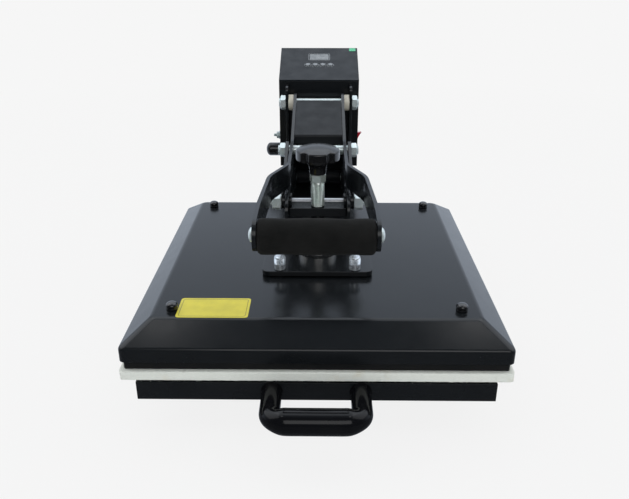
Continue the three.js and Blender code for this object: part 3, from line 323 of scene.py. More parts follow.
def emit(name, form, made, body, node=None, edge=0.0, steps=2, sharp=38.0):
    """Makes a piece of a form or one shape, from one material or a list of them."""
    if not isinstance(form, Form):
        form = Form().add(form)
    mesh = bpy.data.meshes.new(name)
    mesh.from_pydata([(vert + SHIFT) * MM for vert in form.verts], [], form.faces)
    for material in made if isinstance(made, list) else [made]:
        mesh.materials.append(material)
    mesh.polygons.foreach_set("material_index", form.slots)
    return finish_piece(new_object(name, mesh), body, node, edge, steps, sharp)


def refine(node, made, body, edge, steps=2):
    """A copy of a flat-sided part with its edges rounded, in place of that part."""
    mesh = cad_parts[node].data.copy()
    mesh.materials.clear()
    mesh.materials.append(made)
    obj = new_object("fine_" + node, mesh)
    work = bmesh.new()
    work.from_mesh(mesh)
    bmesh.ops.remove_doubles(work, verts=work.verts, dist=2e-6)
    angle = radians(0.6)
    bmesh.ops.dissolve_limit(work, angle_limit=angle, verts=work.verts, edges=work.edges)
    work.to_mesh(mesh)
    work.free()
    finish_piece(obj, body, node, edge, steps, 38.0)


def paint(node, made):
    """Gives a part that is carried over as it is a better material."""
    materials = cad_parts[node].data.materials
    materials.clear()
    materials.append(made)


def soften(points, radius, steps=4, closed=False):
    """Rounds the corners of a line. A third number in a point is its own radius."""
    made = []
    count = len(points)
    for index, point in enumerate(points):
        own = point[2] if len(point) > 2 else radius
        here = Vector(point[:2])
        if own <= 0 or (not closed and index in (0, count - 1)):
            made.append((here.x, here.y))
            continue
        before = Vector(points[index - 1][:2]) - here
        after = Vector(points[(index + 1) % count][:2]) - here
        start = here + before.normalized() * min(own, before.length * 0.48)
        end = here + after.normalized() * min(own, after.length * 0.48)
        for step in range(steps + 1):
            t = step / steps
            spot = start * (1 - t) ** 2 + here * 2 * t * (1 - t) + end * t * t
            made.append((spot.x, spot.y))
    return made


def loft(rings, caps=True):
    count = len(rings[0])
    verts = [tuple(point) for ring in rings for point in ring]
    faces = []
    for level in range(len(rings) - 1):
        low, high = level * count, (level + 1) * count
        for step in range(count):
            after = (step + 1) % count
            faces.append([low + step, low + after, high + after, high + step])
    if caps:
        faces.append(list(range(count))[::-1])
        faces.append([(len(rings) - 1) * count + step for step in range(count)])
    return verts, faces


def circle(radius, count, middle=(0.0, 0.0)):
    angles = [2 * pi * step / count for step in range(count)]
    return [(middle[0] + radius * cos(a), middle[1] + radius * sin(a)) for a in angles]


def lathe(profile, count=48):
    """Turns a profile of radii and heights round Z; its ends on the axis close it."""
    rings = [[(x, y, z) for x, y in circle(radius, count)] for radius, z in profile]
    return loft(rings, caps=False)


def tube(profile, count=48):
    """A turned ring, from a profile that closes on itself."""
    return lathe([*profile, profile[0]], count)


def plate(outline, x0, x1):
    """A flat plate drawn in Y and Z, with its thickness from x0 to x1."""
    return loft([[(x0, y, z) for y, z in outline], [(x1, y, z) for y, z in outline]])


def slab(outline, z0, z1):
    return loft([[(x, y, z0) for x, y in outline], [(x, y, z1) for x, y in outline]])


def box(x0, x1, y0, y1, z0, z1):
    return slab([(x0, y0), (x1, y0), (x1, y1), (x0, y1)], z0, z1)


def band(outer, inner, z0, z1):
    """A flat closed ring between two outlines with as many points each."""
    levels = ((outer, z0), (outer, z1), (inner, z1), (inner, z0), (outer, z0))
    return loft([[(x, y, z) for x, y in line] for line, z in levels], caps=False)


def rounded_rectangle(width, depth, radius, steps=6, middle=(0.0, 0.0)):
    x, y = width / 2, depth / 2
    made = soften([(-x, -y), (x, -y), (x, y), (-x, y)], radius, steps, closed=True)
    return [(px + middle[0], py + middle[1]) for px, py in made]


def quarter(steps, first=1):
    """Sine and cosine along a quarter turn."""
    angles = [pi / 2 * step / steps for step in range(first, steps + 1)]
    return [(sin(angle), cos(angle)) for angle in angles]


def strap(first, second, steps=20):
    """Outline of a strap round two circles, each given by its place and radius."""
    ay, az, ar = first
    by, bz, br = second
    heading = atan2(bz - az, by - ay)
    lean = acos((ar - br) / hypot(by - ay, bz - az))
    made = []
    for (y, z, radius), start, turn in (
        (second, heading - lean, 2 * lean), (first, heading + lean, 2 * (pi - lean)),
    ):
        angles = [start + turn * step / steps for step in range(steps + 1)]
        made += [(y + radius * cos(a), z + radius * sin(a)) for a in angles]
    return made


def square_ring(half, radius, z, steps=6, along=0):
    """A rounded square at one height, with extra points along each side."""
    inner = half - radius
    made = []
    for turn, (cx, cy) in enumerate(((1, -1), (1, 1), (-1, 1), (-1, -1))):
        for step in range(steps + 1):
            angle = pi / 2 * (turn - 1 + step / steps)
            x = cx * inner + radius * cos(angle)
            y = cy * inner + radius * sin(angle)
            made.append((x, y, z))
        for step in range(1, along + 1):
            share = 2 * inner * step / (along + 1)
            made.append((x - share * sin(angle), y + share * cos(angle), z))
    return made


def hexagon(across, height, bore=0.0, count=72):
    """A hexagon nut or bolt head with its chamfers."""
    apothem = across / 2
    seat = apothem * 0.965
    slope = tan(radians(30))

    def corner(angle):
        local = (angle + pi / 6) % (pi / 3) - pi / 6
        return apothem / cos(local)

    angles = [2 * pi * step / count for step in range(count)]
    rows = [
        [(seat, 0.0)] * count,
        [(corner(a), (corner(a) - seat) * slope) for a in angles],
        [(corner(a), height - (corner(a) - seat) * slope) for a in angles],
        [(seat, height)] * count,
    ]
    if bore:
        mouth = ((bore + 0.8, height), (bore, height - 0.8), (bore, 0.0))
        rows += [[point] * count for point in mouth] + rows[:1]
    rings = []
    for row in rows:
        rings.append([(r * cos(a), r * sin(a), z) for (r, z), a in zip(row, angles)])
    return loft(rings, caps=not bore)


def washer(outer, inner, height):
    lip = min(0.3, height / 3)
    profile = [
        (inner, 0.0), (outer - lip, 0.0), (outer, lip), (outer, height - lip),
        (outer - lip, height), (inner + lip, height), (inner, height - lip),
    ]
    return tube(profile)


def thread(radius, pitch, z0, z1, count=36, per=8):
    """A threaded rod whose crests follow the helix, flat at both ends."""
    depth, rise = pitch * 0.55, pitch / per
    first, last = -per, int(ceil((z1 - z0) / rise)) + 1
    total = last - first + 1
    verts, faces = [], []
    for column in range(count):
        angle = 2 * pi * column / count
        for row in range(first, last + 1):
            z = z0 + (row + per * column / count) * rise
            wave = abs(2 * ((row % per) / per) - 1)
            lead = min(z - z0, z1 - z) / pitch
            share = min(1.0, max(0.0, (wave - 0.12) / 0.76, 1 - lead))
            reach = radius - depth * share
            verts.append((reach * cos(angle), reach * sin(angle), min(max(z, z0), z1)))
        for row in range(total - 1):
            here = column * total + row
            there = here + total if column < count - 1 else row + per
            if column < count - 1 or there + 1 < total:
                faces.append([here, there, there + 1, here + 1])
    low, high = len(verts), len(verts) + 1
    verts += [(0, 0, z0), (0, 0, z1)]
    for column in range(count):
        after = (column + 1) % count
        faces.append([low, after * total, column * total])
        faces.append([high, column * total + total - 1, after * total + total - 1])
    return verts, faces


def sweep(path, section):
    """Carries a section of (side, up) pairs round a closed level path of places and sizes."""
    rings = []
    for index, (x, y, z, size) in enumerate(path):
        before, after = path[index - 1], path[(index + 1) % len(path)]
        along = Vector((after[0] - before[0], after[1] - before[1], 0.0)).normalized()
        side = Vector((-along.y, along.x, 0.0)) * size
        middle = Vector((x, y, z))
        rings.append([middle + side * u + Vector((0, 0, v * size)) for u, v in section])
    return loft(rings + rings[:1], caps=False)


def shaft(radius, low, high, count=48, edge=0.0, steps=2):
    """A plain round bar along Z."""
    outline = [(0, low), (radius, low), (radius, high), (0, high)]
    return lathe(soften(outline, edge, steps), count)


def sleeve(inner, outer, low, high, count, edge=0.0, steps=2):
    """A plain round tube along Z."""
    outline = [(inner, low), (outer, low), (outer, high), (inner, high)]
    return tube(soften(outline, edge, steps, closed=True), count)


def weld_ring(radius, middle_y, z):
    """Weld bead round an upright tube, with the ripples of its run."""
    section = [(0.9, -0.2), (-2.4, -0.2), (-1.9, 0.9), (-1.0, 1.8), (0.0, 2.4), (0.9, 2.4)]
    path = []
    for step, (x, y) in enumerate(circle(radius, 150, (0, middle_y))):
        uneven = 0.05 * noise.noise(Vector((x, y, z)) * 0.3)
        path.append((x, y, z, 1.0 + 0.10 * sin(step * 1.7) + uneven))
    return sweep(path, section)


# Fasteners

BOLT_RADIUS = 6.0
BOLT_TIP = 2.2
NUT_ACROSS = 19.0
LINK_FACE = 41.8


def pivot_end(form, side, x, pivot, height, across=NUT_ACROSS):
    """Nut with the threaded end of its bolt on the right, or the bolt's head on the left."""
    base = outward(side, x, *pivot) @ spin(radians(26 if side > 0 else -29))
    low, high = height * 0.3, height + BOLT_TIP
    form.add(hexagon(across, height, BOLT_RADIUS), base)
    if side > 0:
        form.add(thread(BOLT_RADIUS, 1.75, low, high, 32), base)
    else:
        form.add(shaft(BOLT_RADIUS, low, high, 40, 1.0, 4), base)


def cross_bolt(name, node, pivot, body, reach, height, across=NUT_ACROSS, shoulder=None):
    inner = reach - 0.3
    form = Form().add(shaft(BOLT_RADIUS, -inner, inner), place((0, *pivot), "x"))
    for _, side in SIDES:
        pivot_end(form, side, reach, pivot, height - BOLT_TIP, across)
        if shoulder:
            start, end, radius = shoulder
            collar = sleeve(6.2, radius, 0, end - start, 48, 0.4)
            form.add(collar, outward(side, start, *pivot))
    emit(name, form, zinc, body, node, sharp=30)


cross_bolt("knee_pin", "knee_bolt", KNEE, "handle_lever", LINK_FACE, 9.4, 15.8)
cross_bolt("top_pin", "top_pivot_bolt", TOP_PIVOT, "root", 46.7, 9.6, 17.6)
shoulder = (37.0, 42.8, 11.0)
cross_bolt("rear_pin", "rear_pivot_bolt", REAR_PIVOT, "root", 46.7, 8.5, shoulder=shoulder)

for word, side in SIDES:
    form = Form()
    pivot_end(form, side, LINK_FACE, FRONT_PIVOT, 10.4)
    form.add(shaft(BOLT_RADIUS, -4.4, 0.4, 40, 0.4), outward(side, LINK_FACE, *FRONT_PIVOT))
    emit(f"front_pin_{word}", form, zinc, "toggle_links", f"front_pivot_bolt_{word}", sharp=30)

    form = Form().add(sleeve(6.3, 11.0, 0, 7.4, 64, 0.7, 3), outward(side, 35.4, *TOP_PIVOT))
    emit(f"nylon_bush_{word}", form, nylon, "root", f"pivot_bush_{word}", sharp=30)


def flange_stud(corner, x, y, turn):
    """Stud with a round nut above the flange and a washer and a nut under it."""
    top = 126.2
    middle = place((x, y, 0))
    seat = spin(turn)
    crown = [(0, -0.5), (5.9, 0.0), (5.9, 0.5), (4.6, 1.0), (0, 1.3)]
    form = Form().add(shaft(4.0, 116.4, 133.0, 32), middle)
    form.add(shaft(6.5, 0, 6.6, 56, 0.4), place((x, y, top + 0.35)))
    form.add(thread(6.6, 1.9, top + 6.3, 141.4, 44), middle @ seat)
    form.add(lathe(crown, 44), place((x, y, 140.7)))
    # The washer and nut under the flange are painted black as painted shade beneath the flange
    form.add(washer(6.9, 4.2, 0.8), place((x, y, COVER_TOP + 0.35)), 1)
    form.add(hexagon(12.6, 1.9, count=60), place((x, y, 114.45)) @ seat, 1)
    made = [stud_zinc, black_coat]
    emit(f"stud_{corner}", form, made, "platen_head", f"flange_bolt_{corner}", sharp=30)


def cover_cap(corner, x, y):
    """Domed cap on the head of a cover screw."""
    profile = [
        (0, 81.0), (4.0, 81.0), (4.0, 119.0), (5.7, 119.0),
        (6.0, 119.3), (6.0, 120.0), (5.7, 120.5),
    ]
    first, steps = -0.45, 12
    for step in range(steps + 1):
        angle = first + (pi / 2 - first) * step / steps
        radius = 6.2 * cos(angle) if step < steps else 0.0
        profile.append((radius, 123.2 + (3.8 if angle > 0 else 3.4) * sin(angle)))
    form = Form().add(lathe(profile, 56), place((x, y, 0)))
    emit(f"cap_{corner}", form, cap_gloss, "platen_head", f"cover_knob_{corner}", sharp=50)


def corners(front, rear):
    """Name, side and Y of the four corners."""
    for row, y in (("front", front), ("rear", rear)):
        for word, side in SIDES:
            yield f"{row}_{word}", side, y


for (corner, side, y), turn in zip(corners(-68, 38), (0.3, 0.75, 0.1, 0.5)):
    flange_stud(corner, 42 * side, y, turn)
for corner, side, y in corners(-148, 148):
    cover_cap(corner, 148 * side, y)


# Heated head

def cover_section(shrink):
    """Half width and height along the folded cover, from its lip to its top."""
    half, flat, top = 195.0 - shrink, 166.6 - shrink, COVER_TOP - shrink
    fold = [(half, 84.0), (half, RIM - shrink / 2), (flat, top), (flat - 12, top)]
    return soften(fold, 2.8, 5)


lip = [(193.3, 83.95), (194.7, 83.95), (195.0, 84.3)]
section = cover_section(2.0)[::-1] + lip + cover_section(0.0)[1:]
form = loft([square_ring(half, 6.5, z, 9) for half, z in section])
emit("head_cover", form, black_coat, "platen_head", "platen_cover", sharp=60)

form = slab(rounded_rectangle(383.0, 383.0, 3.0), 74.6, 86.6)
emit("hot_platen", form, platen_metal, "platen_head", "heating_platen", 0.6, 3)
paint("insulation_pad", wool)

form = slab(rounded_rectangle(124.0, 122.0, 10.0, 10, SCREW[:2]), 120.2, 126.2)
emit("head_flange", form, black_coat, "platen_head", "flange_plate", 0.8, 3)

cap = [
    (8.6, 158.8), (8.6, 162.4), (8.9, 162.7), (21.3, 162.7),
    (22.4, 161.6), (22.4, 158.02), (18.7, 158.02), (18.7, 158.8),
]
form = Form().add(sleeve(18.6, 22.4, 125.9, 158.0, 96), place(SCREW))
form.add(tube(cap, 96), place(SCREW), 1)
emit("screw_cup", form, [cup_steel, black_coat], "platen_head", sharp=40)

form = weld_ring(22.2, SCREW_Y, 126.1)
emit("cup_weld", form, frame_coat, "platen_head", sharp=70)

# A blank yellow label with one thin line round it
middle = (-105.5, -145.5)
low = COVER_TOP + 0.02
form = Form().add(slab(rounded_rectangle(73.0, 40.5, 4.0, 6, middle), low, low + 0.16))
outer = rounded_rectangle(68.0, 35.5, 3.0, 6, middle)
inner = rounded_rectangle(67.2, 34.7, 2.7, 6, middle)
form.add(band(outer, inner, low + 0.1, low + 0.2), slot=1)
emit("cover_decal", form, [yellow_film, label_ink], "platen_head", sharp=40)


# Drawer

PAD_HALF, PAD_LOW, PAD_HIGH = 196.2, 64.1, 74.3


def pad_body():
    """The felt with its cut sides uneven; the last number of a level says how much."""
    half, low, high, corner = PAD_HALF, PAD_LOW, PAD_HIGH, 5.0
    levels = [(half - 9.0, low, 0), (half - 3.0, low, 0), (half - 0.8, low + 0.1, 0.5)]
    levels += [(half, low + 0.7 + (high - low - 1.4) * step / 8, 1) for step in range(9)]
    levels += [(half - 0.8, high - 0.1, 0.5), (half - 3.0, high, 0), (half - 9.0, high, 0)]
    rings = []
    for reach, z, loose in levels:
        ring = []
        for point in square_ring(reach, corner, z, 5, along=150):
            spot = Vector(point)
            largest = max(abs(point[0]), abs(point[1]))
            away = Vector((point[0] / largest, point[1] / largest, 0)).normalized()
            coarse = noise.noise(spot * 0.035)
            mid = noise.noise(spot * 0.21 + Vector((9, 2, 4)))
            fine = noise.noise(spot * 0.8 + Vector((3, 7, 1)))
            spot += away * loose * (0.25 * coarse + 0.28 * mid + 0.22 * fine - 0.25)
            foot = max(0.0, 1 - (z - low) / 3.0)
            spot.z -= loose * foot * max(0.0, 0.35 * mid + 0.3 * fine)
            spot.z = max(spot.z, low - 0.15)
            ring.append(spot)
        rings.append(ring)
    return loft(rings)


def pad_fibre(tufts, normal):
    """A pointed loose fibre on the side of the pad that faces along the normal."""
    run = tufts.uniform(-PAD_HALF + 4, PAD_HALF - 4)
    z = PAD_LOW + (PAD_HIGH - PAD_LOW) * (0.03 + 0.94 * tufts.random() ** 1.8)
    along = Vector((abs(normal.y), abs(normal.x), 0))
    root = normal * (PAD_HALF - 0.25) + along * run + Vector((0, 0, z))
    length = tufts.uniform(0.8, 2.6)
    lean = Vector((tufts.uniform(-1, 1), tufts.uniform(-1, 1), tufts.uniform(-0.9, 0.5)))
    lean -= normal * lean.dot(normal)
    middle = root + normal * 0.35 * length * 0.5 + lean * length * 0.35
    end = root + normal * 0.25 * length + lean * length * 0.75
    thick = tufts.uniform(0.05, 0.09)
    across = normal.cross(lean).normalized() * thick
    up = normal * thick
    verts = []
    for centre, size in ((root - normal * 0.4, 1.0), (middle, 0.8)):
        back = centre - across * size * 0.5
        verts += [centre + across * size, back + up * size, back - up * size]
    sides = [[0, 1, 4, 3], [1, 2, 5, 4], [2, 0, 3, 5]]
    return [*verts, end], sides + [[3, 4, 6], [4, 5, 6], [5, 3, 6], [2, 1, 0]]


form = Form().add(pad_body())
tufts = random.Random(5)
normals = [Vector(way) for way in ((0, -1, 0), (1, 0, 0), (0, 1, 0), (-1, 0, 0))]
for index in range(2400):
    form.add(pad_fibre(tufts, normals[index % 4]))
pad = emit("pressing_pad", form, felt, "drawer", "felt_pad", sharp=80)

form = slab(rounded_rectangle(378.0, 378.0, 3.0), 61.5, 63.8)
emit("drawer_plate", form, frame_coat, "drawer", "lower_plate", 0.4)
refine("drawer_tray", black_coat, "drawer", 0.5)

# D handle of one bent bar, thicker where it is held and at its roots
root, x, corner, height = -194.8, 44.5, 20.0, 50.6
bar, run = -241.5, 27.0
bend = bar + corner + 6
turn = soften([(-x, bend), (-x, bar), (x, bar), (x, bend)], corner, 14)
line = [(-x, root - run * step / 10) for step in range(10)] + turn[1:15]
line += [(-x + corner + 2 * (x - corner) * step / 20, bar) for step in range(21)]
line += turn[16:-1] + [(x, root - run * step / 10) for step in range(9, -1, -1)]
rings = []
for index, (px, py) in enumerate(line):
    before, after = line[max(0, index - 1)], line[min(len(line) - 1, index + 1)]
    along = Vector((after[0] - before[0], after[1] - before[1], 0)).normalized()
    side = Vector((-along.y, along.x, 0))
    share = min(1.0, (x - abs(px)) / 15.0)
    radius = 10.2 + 2.8 * share * share * (3 - 2 * share)
    radius += max(0.0, 1 - (root - py) / 5.0) ** 2
    middle = Vector((px, py, height))
    rings.append([middle + side * u + Vector((0, 0, v)) for u, v in circle(radius, 40)])
emit("pull_handle", loft(rings), gloss_plastic, "drawer", "drawer_handle", sharp=60)


# Base

TUBE_LOW, TUBE_HIGH, TUBE_WALL = 14.3, 40.0, 2.0


def square_tube(near, far, start, end, along):
    """Square tube with rounded corners and open ends, along X or Y."""
    low, high, wall = TUBE_LOW, TUBE_HIGH, TUBE_WALL
    outer = soften([(near, low), (far, low), (far, high), (near, high)], 2.2, 5, closed=True)
    near, far, low, high = near + wall, far - wall, low + wall, high - wall
    inner = soften([(near, low), (far, low), (far, high), (near, high)], 1.0, 5, closed=True)
    verts, faces = band(outer, inner, start, end)
    return [(at, u, z) if along == "x" else (u, at, z) for u, z, at in verts], faces


form = Form()
form.add(square_tube(-150.0, -120.0, -125.0, 300.0, "y"))
form.add(square_tube(120.0, 150.0, -125.0, 300.0, "y"))
form.add(square_tube(-125.0, -95.0, -119.9, 119.9, "x"))
form.add(square_tube(200.0, 262.0, -119.9, 119.9, "x"))
emit("welded_base", form, frame_coat, "root", "base_frame", 0.3, sharp=40)

form = Form()
for _, side in SIDES:
    for y, out in ((199.8, -1), (262.2, 1)):
        rings = []
        for step in range(41):
            size = 1.9 * (1.0 + 0.10 * sin(step * 1.7))
            corner = (size * 0.6, size * 0.6)
            spots = [(-0.3, -0.5), (size, -0.3), corner, (0, size), (-0.6, size)]
            z = 16.5 + 21.0 * step / 40
            rings.append([(side * (120.1 - u), y + v * out, z) for u, v in spots])
        form.add(loft(rings))
emit("base_welds", form, frame_coat, "root", sharp=70)

for word, _ in SIDES:
    refine(f"drawer_rail_outer_{word}", rail_zinc, "root", 0.3)
    refine(f"drawer_rail_middle_{word}", rail_zinc, "middle_rails", 0.3)

for corner, side, y in corners(-103.0, 278.0):
    profile = [(0, 0), (11.6, 0), (12.4, 3.0), (13.2, 9.5), (13.9, 13.9), (0, 13.9)]
    form = Form().add(lathe(soften(profile, 0.9, 3)), place((135.0 * side, y, 0)))
    emit(f"rubber_foot_{corner}", form, rubber, "root", f"foot_{corner}", sharp=40)


# Press arm

outline = soften([
    (-48, 149.5), (168, 146.5), (213, 122), (243, 122, 15),
    (243, 152, 15), (198, 161), (30, 197, 18), (-48, 197, 18),
], 9, 10, closed=True)
for word, side in SIDES:
    form = plate(outline, 33.0 * side, 36.7 * side)
    emit(f"press_arm_{word}", form, black_coat, "press_arm", f"arm_plate_{word}", 0.5)
form = box(-32.7, 32.7, SCREW_Y - 12.0, SCREW_Y + 12.0, 172.6, 183.0)
emit("arm_block", form, black_coat, "press_arm", "arm_trunnion", 0.7, 3)

profile = [(0, 0), (9.0, 0), (9.0, 3.0), (6.0, 3.0), (6.0, 7.3), (0, 7.3)]
form = Form()
for _, side in SIDES:
    form.add(lathe(soften(profile, 0.4, 2)), outward(side, 29.7, *FRONT_PIVOT))
emit("arm_journals", form, black_coat, "press_arm", sharp=40)

form = Form().add(sleeve(6.4, 9.5, -32.6, 32.6, 64, 0.4), place((0, *REAR_PIVOT), "x"))
emit("arm_sleeve", form, grey_coat, "press_arm", sharp=40)

form = Form().add(shaft(4.3, -32.7, 32.7, 48, 0.5), place((0, 2.3, 180.5), "x"))
emit("tie_rod", form, turned_steel, "press_arm", "arm_tie_rod", sharp=40)


# Pressure screw and star knob

def make_star_knob():
    base, low, shoulder, crest = 221.2, 237.4, 247.6, 254.4
    outer, lobes, count = 24.8, 5, 200
    cutter, cutter_place = 4.6, 26.0
    depth = outer - (cutter_place - cutter)
    round_edge, dome = 2.6, 22.2

    def flute(angle):
        """Share of the flute's depth at this angle, with the edges of the flutes rounded."""
        total = 0.0
        turn = 2 * pi / lobes
        for shift in (-0.05, -0.025, 0.0, 0.025, 0.05):
            off = (angle + shift) % turn - turn / 2
            across = cutter_place * sin(off)
            if abs(off) < 0.6 and abs(across) < cutter:
                reach = cutter_place * cos(off) - sqrt(cutter ** 2 - across ** 2)
                total += max(0.0, outer - reach) / depth
        return total / 5

    def ring(radius, lobe, z):
        made = []
        for step in range(count):
            angle = 2 * pi * step / count
            reach = radius - lobe * flute(angle)
            made.append((reach * sin(angle), SCREW_Y - reach * cos(angle), z))
        return made

    rows = [
        (7.2, 0, base + 10.0), (7.2, 0, base + 0.4), (8.0, 0, base), (9.0, 0, base),
        (9.5, 0, base + 0.5), (9.8, 0.1, base + 7.0), (11.4, 0.5, low - 4.0),
        (17.0, 1.6, low - 1.6), (22.0, 3.0, low - 0.3), (24.1, 3.3, low + 0.3),
        (outer, depth, low + 1.4), (outer, depth, low + 4.0), (outer, depth, shoulder),
    ]
    for sine, cosine in quarter(8)[:-1]:
        radius = outer - round_edge + round_edge * cosine
        rows.append((radius, depth * (1 - 0.45 * sine), shoulder + 2.4 * sine))
    for step in range(12):
        radius = dome * (1 - step / 12)
        z = shoulder + 2.5 + (crest - shoulder - 2.5) * (1 - (radius / dome) ** 2)
        rows.append((radius, depth * 0.5 * max(0.0, (radius - 14) / 8.2), z))
    rows.append((0.4, 0, crest))
    form = loft([ring(*row) for row in rows])
    emit(
        "star_knob", form, knob_plastic, "knob_and_screw", "pressure_knob",
        sharp=50,
    )


# The screw is chrome above the middle of the arm block; its thread below that is painted black as
# painted shade under the block
spot = place(SCREW)
form = Form()
form.add(thread(7.9, 2.0, 170.4, 212.4, 60), spot)
form.add(thread(7.9, 2.0, 157.4, 171.4, 60), spot, 1)
form.add(hexagon(16.4, 9.0), place((0, SCREW_Y, 211.8)) @ spin(0.32))
form.add(shaft(6.8, 0, 10, 40, 0.4), place((0, SCREW_Y, 220.2)))
emit("thread_screw", form, [chrome, black_coat], "knob_and_screw", "pressure_screw", sharp=28)

# The collars are painted black as painted shade under the arm block
form = Form()
for height in (155.4, 163.0):
    form.add(shaft(12.0, 0, 3.0, 48, 0.5), place((0, SCREW_Y, height)))
emit("screw_collars", form, black_coat, "knob_and_screw")

make_star_knob()


# Handle lever

TOP_EYE, KNEE_EYE, GRIP_EYE = 13.3, 13.0, 15.5


def envelope(first, second, y, sign):
    """Height of a strap's upper or lower edge at y."""
    best = None
    for step in range(161):
        t = step / 160
        cy, cz, radius = (a + (b - a) * t for a, b in zip(first, second))
        inside = radius * radius - (y - cy) ** 2
        if inside < 0:
            continue
        z = cz + sign * sqrt(inside)
        if best is None or sign * z > sign * best:
            best = z
    return best


def lever_edge(y, sign):
    """Height of the whole bar's upper or lower edge at y."""
    eyes = ((*TOP_PIVOT, TOP_EYE), (*KNEE, KNEE_EYE), (*GRIP, GRIP_EYE))
    found = [envelope(a, b, y, sign) for a, b in zip(eyes, eyes[1:])]
    return sign * max(sign * z for z in found if z is not None)


def lever_offset(y, bends):
    """Distance of the bar's middle from the centre plane, with the slope there."""
    for (y0, x0), (y1, x1) in zip(bends, bends[1:]):
        if y1 <= y <= y0:
            slope = (x1 - x0) / (y1 - y0)
            return x0 + slope * (y - y0), slope
    return bends[-1][1], 0.0


def lever_places(front, rear, bends):
    """Where the bar is cut into sections: at its bends, every 4 mm and closer at its ends."""
    found = {rear} | {y for y, _ in bends if front < y < rear}
    at = front
    while at < rear:
        found.add(at)
        at += 4.0
    for _, cosine in quarter(12):
        found |= {front + GRIP_EYE * (1 - cosine), rear - TOP_EYE * (1 - cosine)}
    return sorted({round(y, 3) for y in found})


def make_lever_cover():
    """Sheet over the bars between the top pivot and the knee, with a lip at its front."""
    (ty, tz), (ky, kz) = TOP_PIVOT, KNEE
    rear, front, sheet, lip = ty - 19.0, 101.5, 1.5, 9.8

    def height(y):
        return kz + (tz - kz) / (ty - ky) * (y - ky) + 11.5

    outline = soften([
        (rear, height(rear)), (rear, height(rear) + sheet), (front, height(front) + sheet, 3.0),
        (front, height(front) - lip), (front + sheet, height(front) - lip),
        (front + sheet, height(front + sheet), 1.5),
    ], 0.4, 6, closed=True)
    form = plate(outline, -30.9, 30.9)
    emit("lever_sheet", form, grey_coat, "handle_lever", "lever_cover", 0.25, sharp=50)


line = [(225, 33.15), (-3, 33.15, 7), (-46, 53.05, 9), (-129, 58.05, 10), (-190, 58.05)]
bends = soften(line, 7, 8)
rear, front = TOP_PIVOT[0] + TOP_EYE - 0.01, GRIP[0] - GRIP_EYE + 0.01
half, rows = 1.95, 5
for word, side in SIDES:
    rings = []
    for y in lever_places(front, rear, bends):
        inside = min(max(y, front + 0.001), rear - 0.001)
        high, low = lever_edge(inside, 1), lever_edge(inside, -1)
        x, slope = lever_offset(y, bends)
        lean = Vector((1.0, -slope, 0)).normalized() * half
        heights = [low + (high - low) * row / rows for row in range(rows + 1)]
        inner = [(side * (x - lean.x), y - lean.y, z) for z in heights]
        outer = [(side * (x + lean.x), y + lean.y, z) for z in heights]
        rings.append(inner + outer[::-1])
    emit(f"lever_{word}", loft(rings), black_coat, "handle_lever", f"lever_bar_{word}", 0.5)

make_lever_cover()

y, z = GRIP
half, radius, edge, bore = 55.9, 17.6, 5.0, 12.3
turn = quarter(8, 0)
profile = [(bore, -half)]
inner, straight = radius - edge, half - edge
profile += [(inner + edge * sine, -straight - edge * cosine) for sine, cosine in turn]
profile += [(radius, straight * (step / 20 - 1)) for step in range(1, 40)]
profile += [(inner + edge * sine, straight + edge * cosine) for sine, cosine in turn[::-1]]
profile.append((bore, half))
verts, faces = tube(profile, 72)
shaped = []
for spot in map(Vector, verts):
    reach = hypot(spot.x, spot.y)
    if reach > 13:
        waist = 0.45 * exp(-((abs(spot.z) - 30) / 9.0) ** 2)
        swell = 0.2 * noise.noise(spot * 0.06) + 0.10 * noise.noise(spot * 0.35) - 0.25 - waist
        grown = 1 + swell / reach
        spot = Vector((spot.x * grown, spot.y * grown, spot.z))
    shaped.append(spot)
form = Form().add((shaped, faces), place((0, y, z - 1.7), "x"))
grip = emit("soft_grip", form, foam, "handle_lever", "foam_grip", sharp=60)
head = [(0, -5.0), (4.0, -5.0), (4.0, 0.0), (7.2, 0.0), (7.5, 0.35)]
head += [(7.5 * cosine, 0.35 + 3.85 * sine) for sine, cosine in quarter(8)[:-2]]
head += [(2.3, 4.0), (2.3, 1.6), (0, 1.4)]
form = Form().add(shaft(11.9, -55.7, 55.7), place((0, y, z), "x"))
for _, side in SIDES:
    form.add(lathe(head), outward(side, 60.3, y, z))
emit("grip_screws", form, zinc, "handle_lever", "grip_rod", sharp=40)


# Toggle links and column

for word, side in SIDES:
    outline = strap((*KNEE, 11.0), (*FRONT_PIVOT, 10.0), 24)
    form = plate(outline, 37.5 * side, 41.5 * side)
    emit(f"link_{word}", form, black_coat, "toggle_links", f"toggle_link_{word}", 0.5)

front, rear = 199.0, 262.0
outline = [(front, 40.3, 0.3), (rear, 40.3, 0.3), (rear, 277), (front, 277)]
outline = soften(outline, 8, 8, closed=True)
flange = [(46.2, 40.3, 0), (72.4, 40.3), (72.4, 43.6), (46.2, 43.6, 0)]
flange = soften(flange, 0.5, 2, closed=True)
form = Form()
for _, side in SIDES:
    form.add(plate(outline, 43.1 * side, 46.4 * side))
    form.add(loft([[(x * side, y, z) for x, z in flange] for y in (front, rear)]))
form.add(box(-43.2, 43.2, 258.4, 261.7, 40.6, 182.7))
emit("column", form, black_coat, "root", "column_channel", 0.45)

form = Form()
for x in (-61.0, 61.0):
    for y in (213.0, 248.0):
        form.add(washer(8.0, 4.0, 1.4), place((x, y, 43.7)))
        form.add(hexagon(13.0, 5.3, count=60), place((x, y, 45.15)))
emit("column_bolts", form, zinc, "root", sharp=30)


# Control box

refine("control_box_shell", black_coat, "root", 0.5, 3)
refine("control_box_back", black_coat, "root", 0.4)
refine("power_inlet", matte_plastic, "root", 0.3)
refine("rocker_housing", matte_plastic, "root", 0.4, 3)
paint("circuit_board", board)
refine("control_panel", panel_film, "root", 0.35, 3)
refine("display_window", display, "root", 0.15)

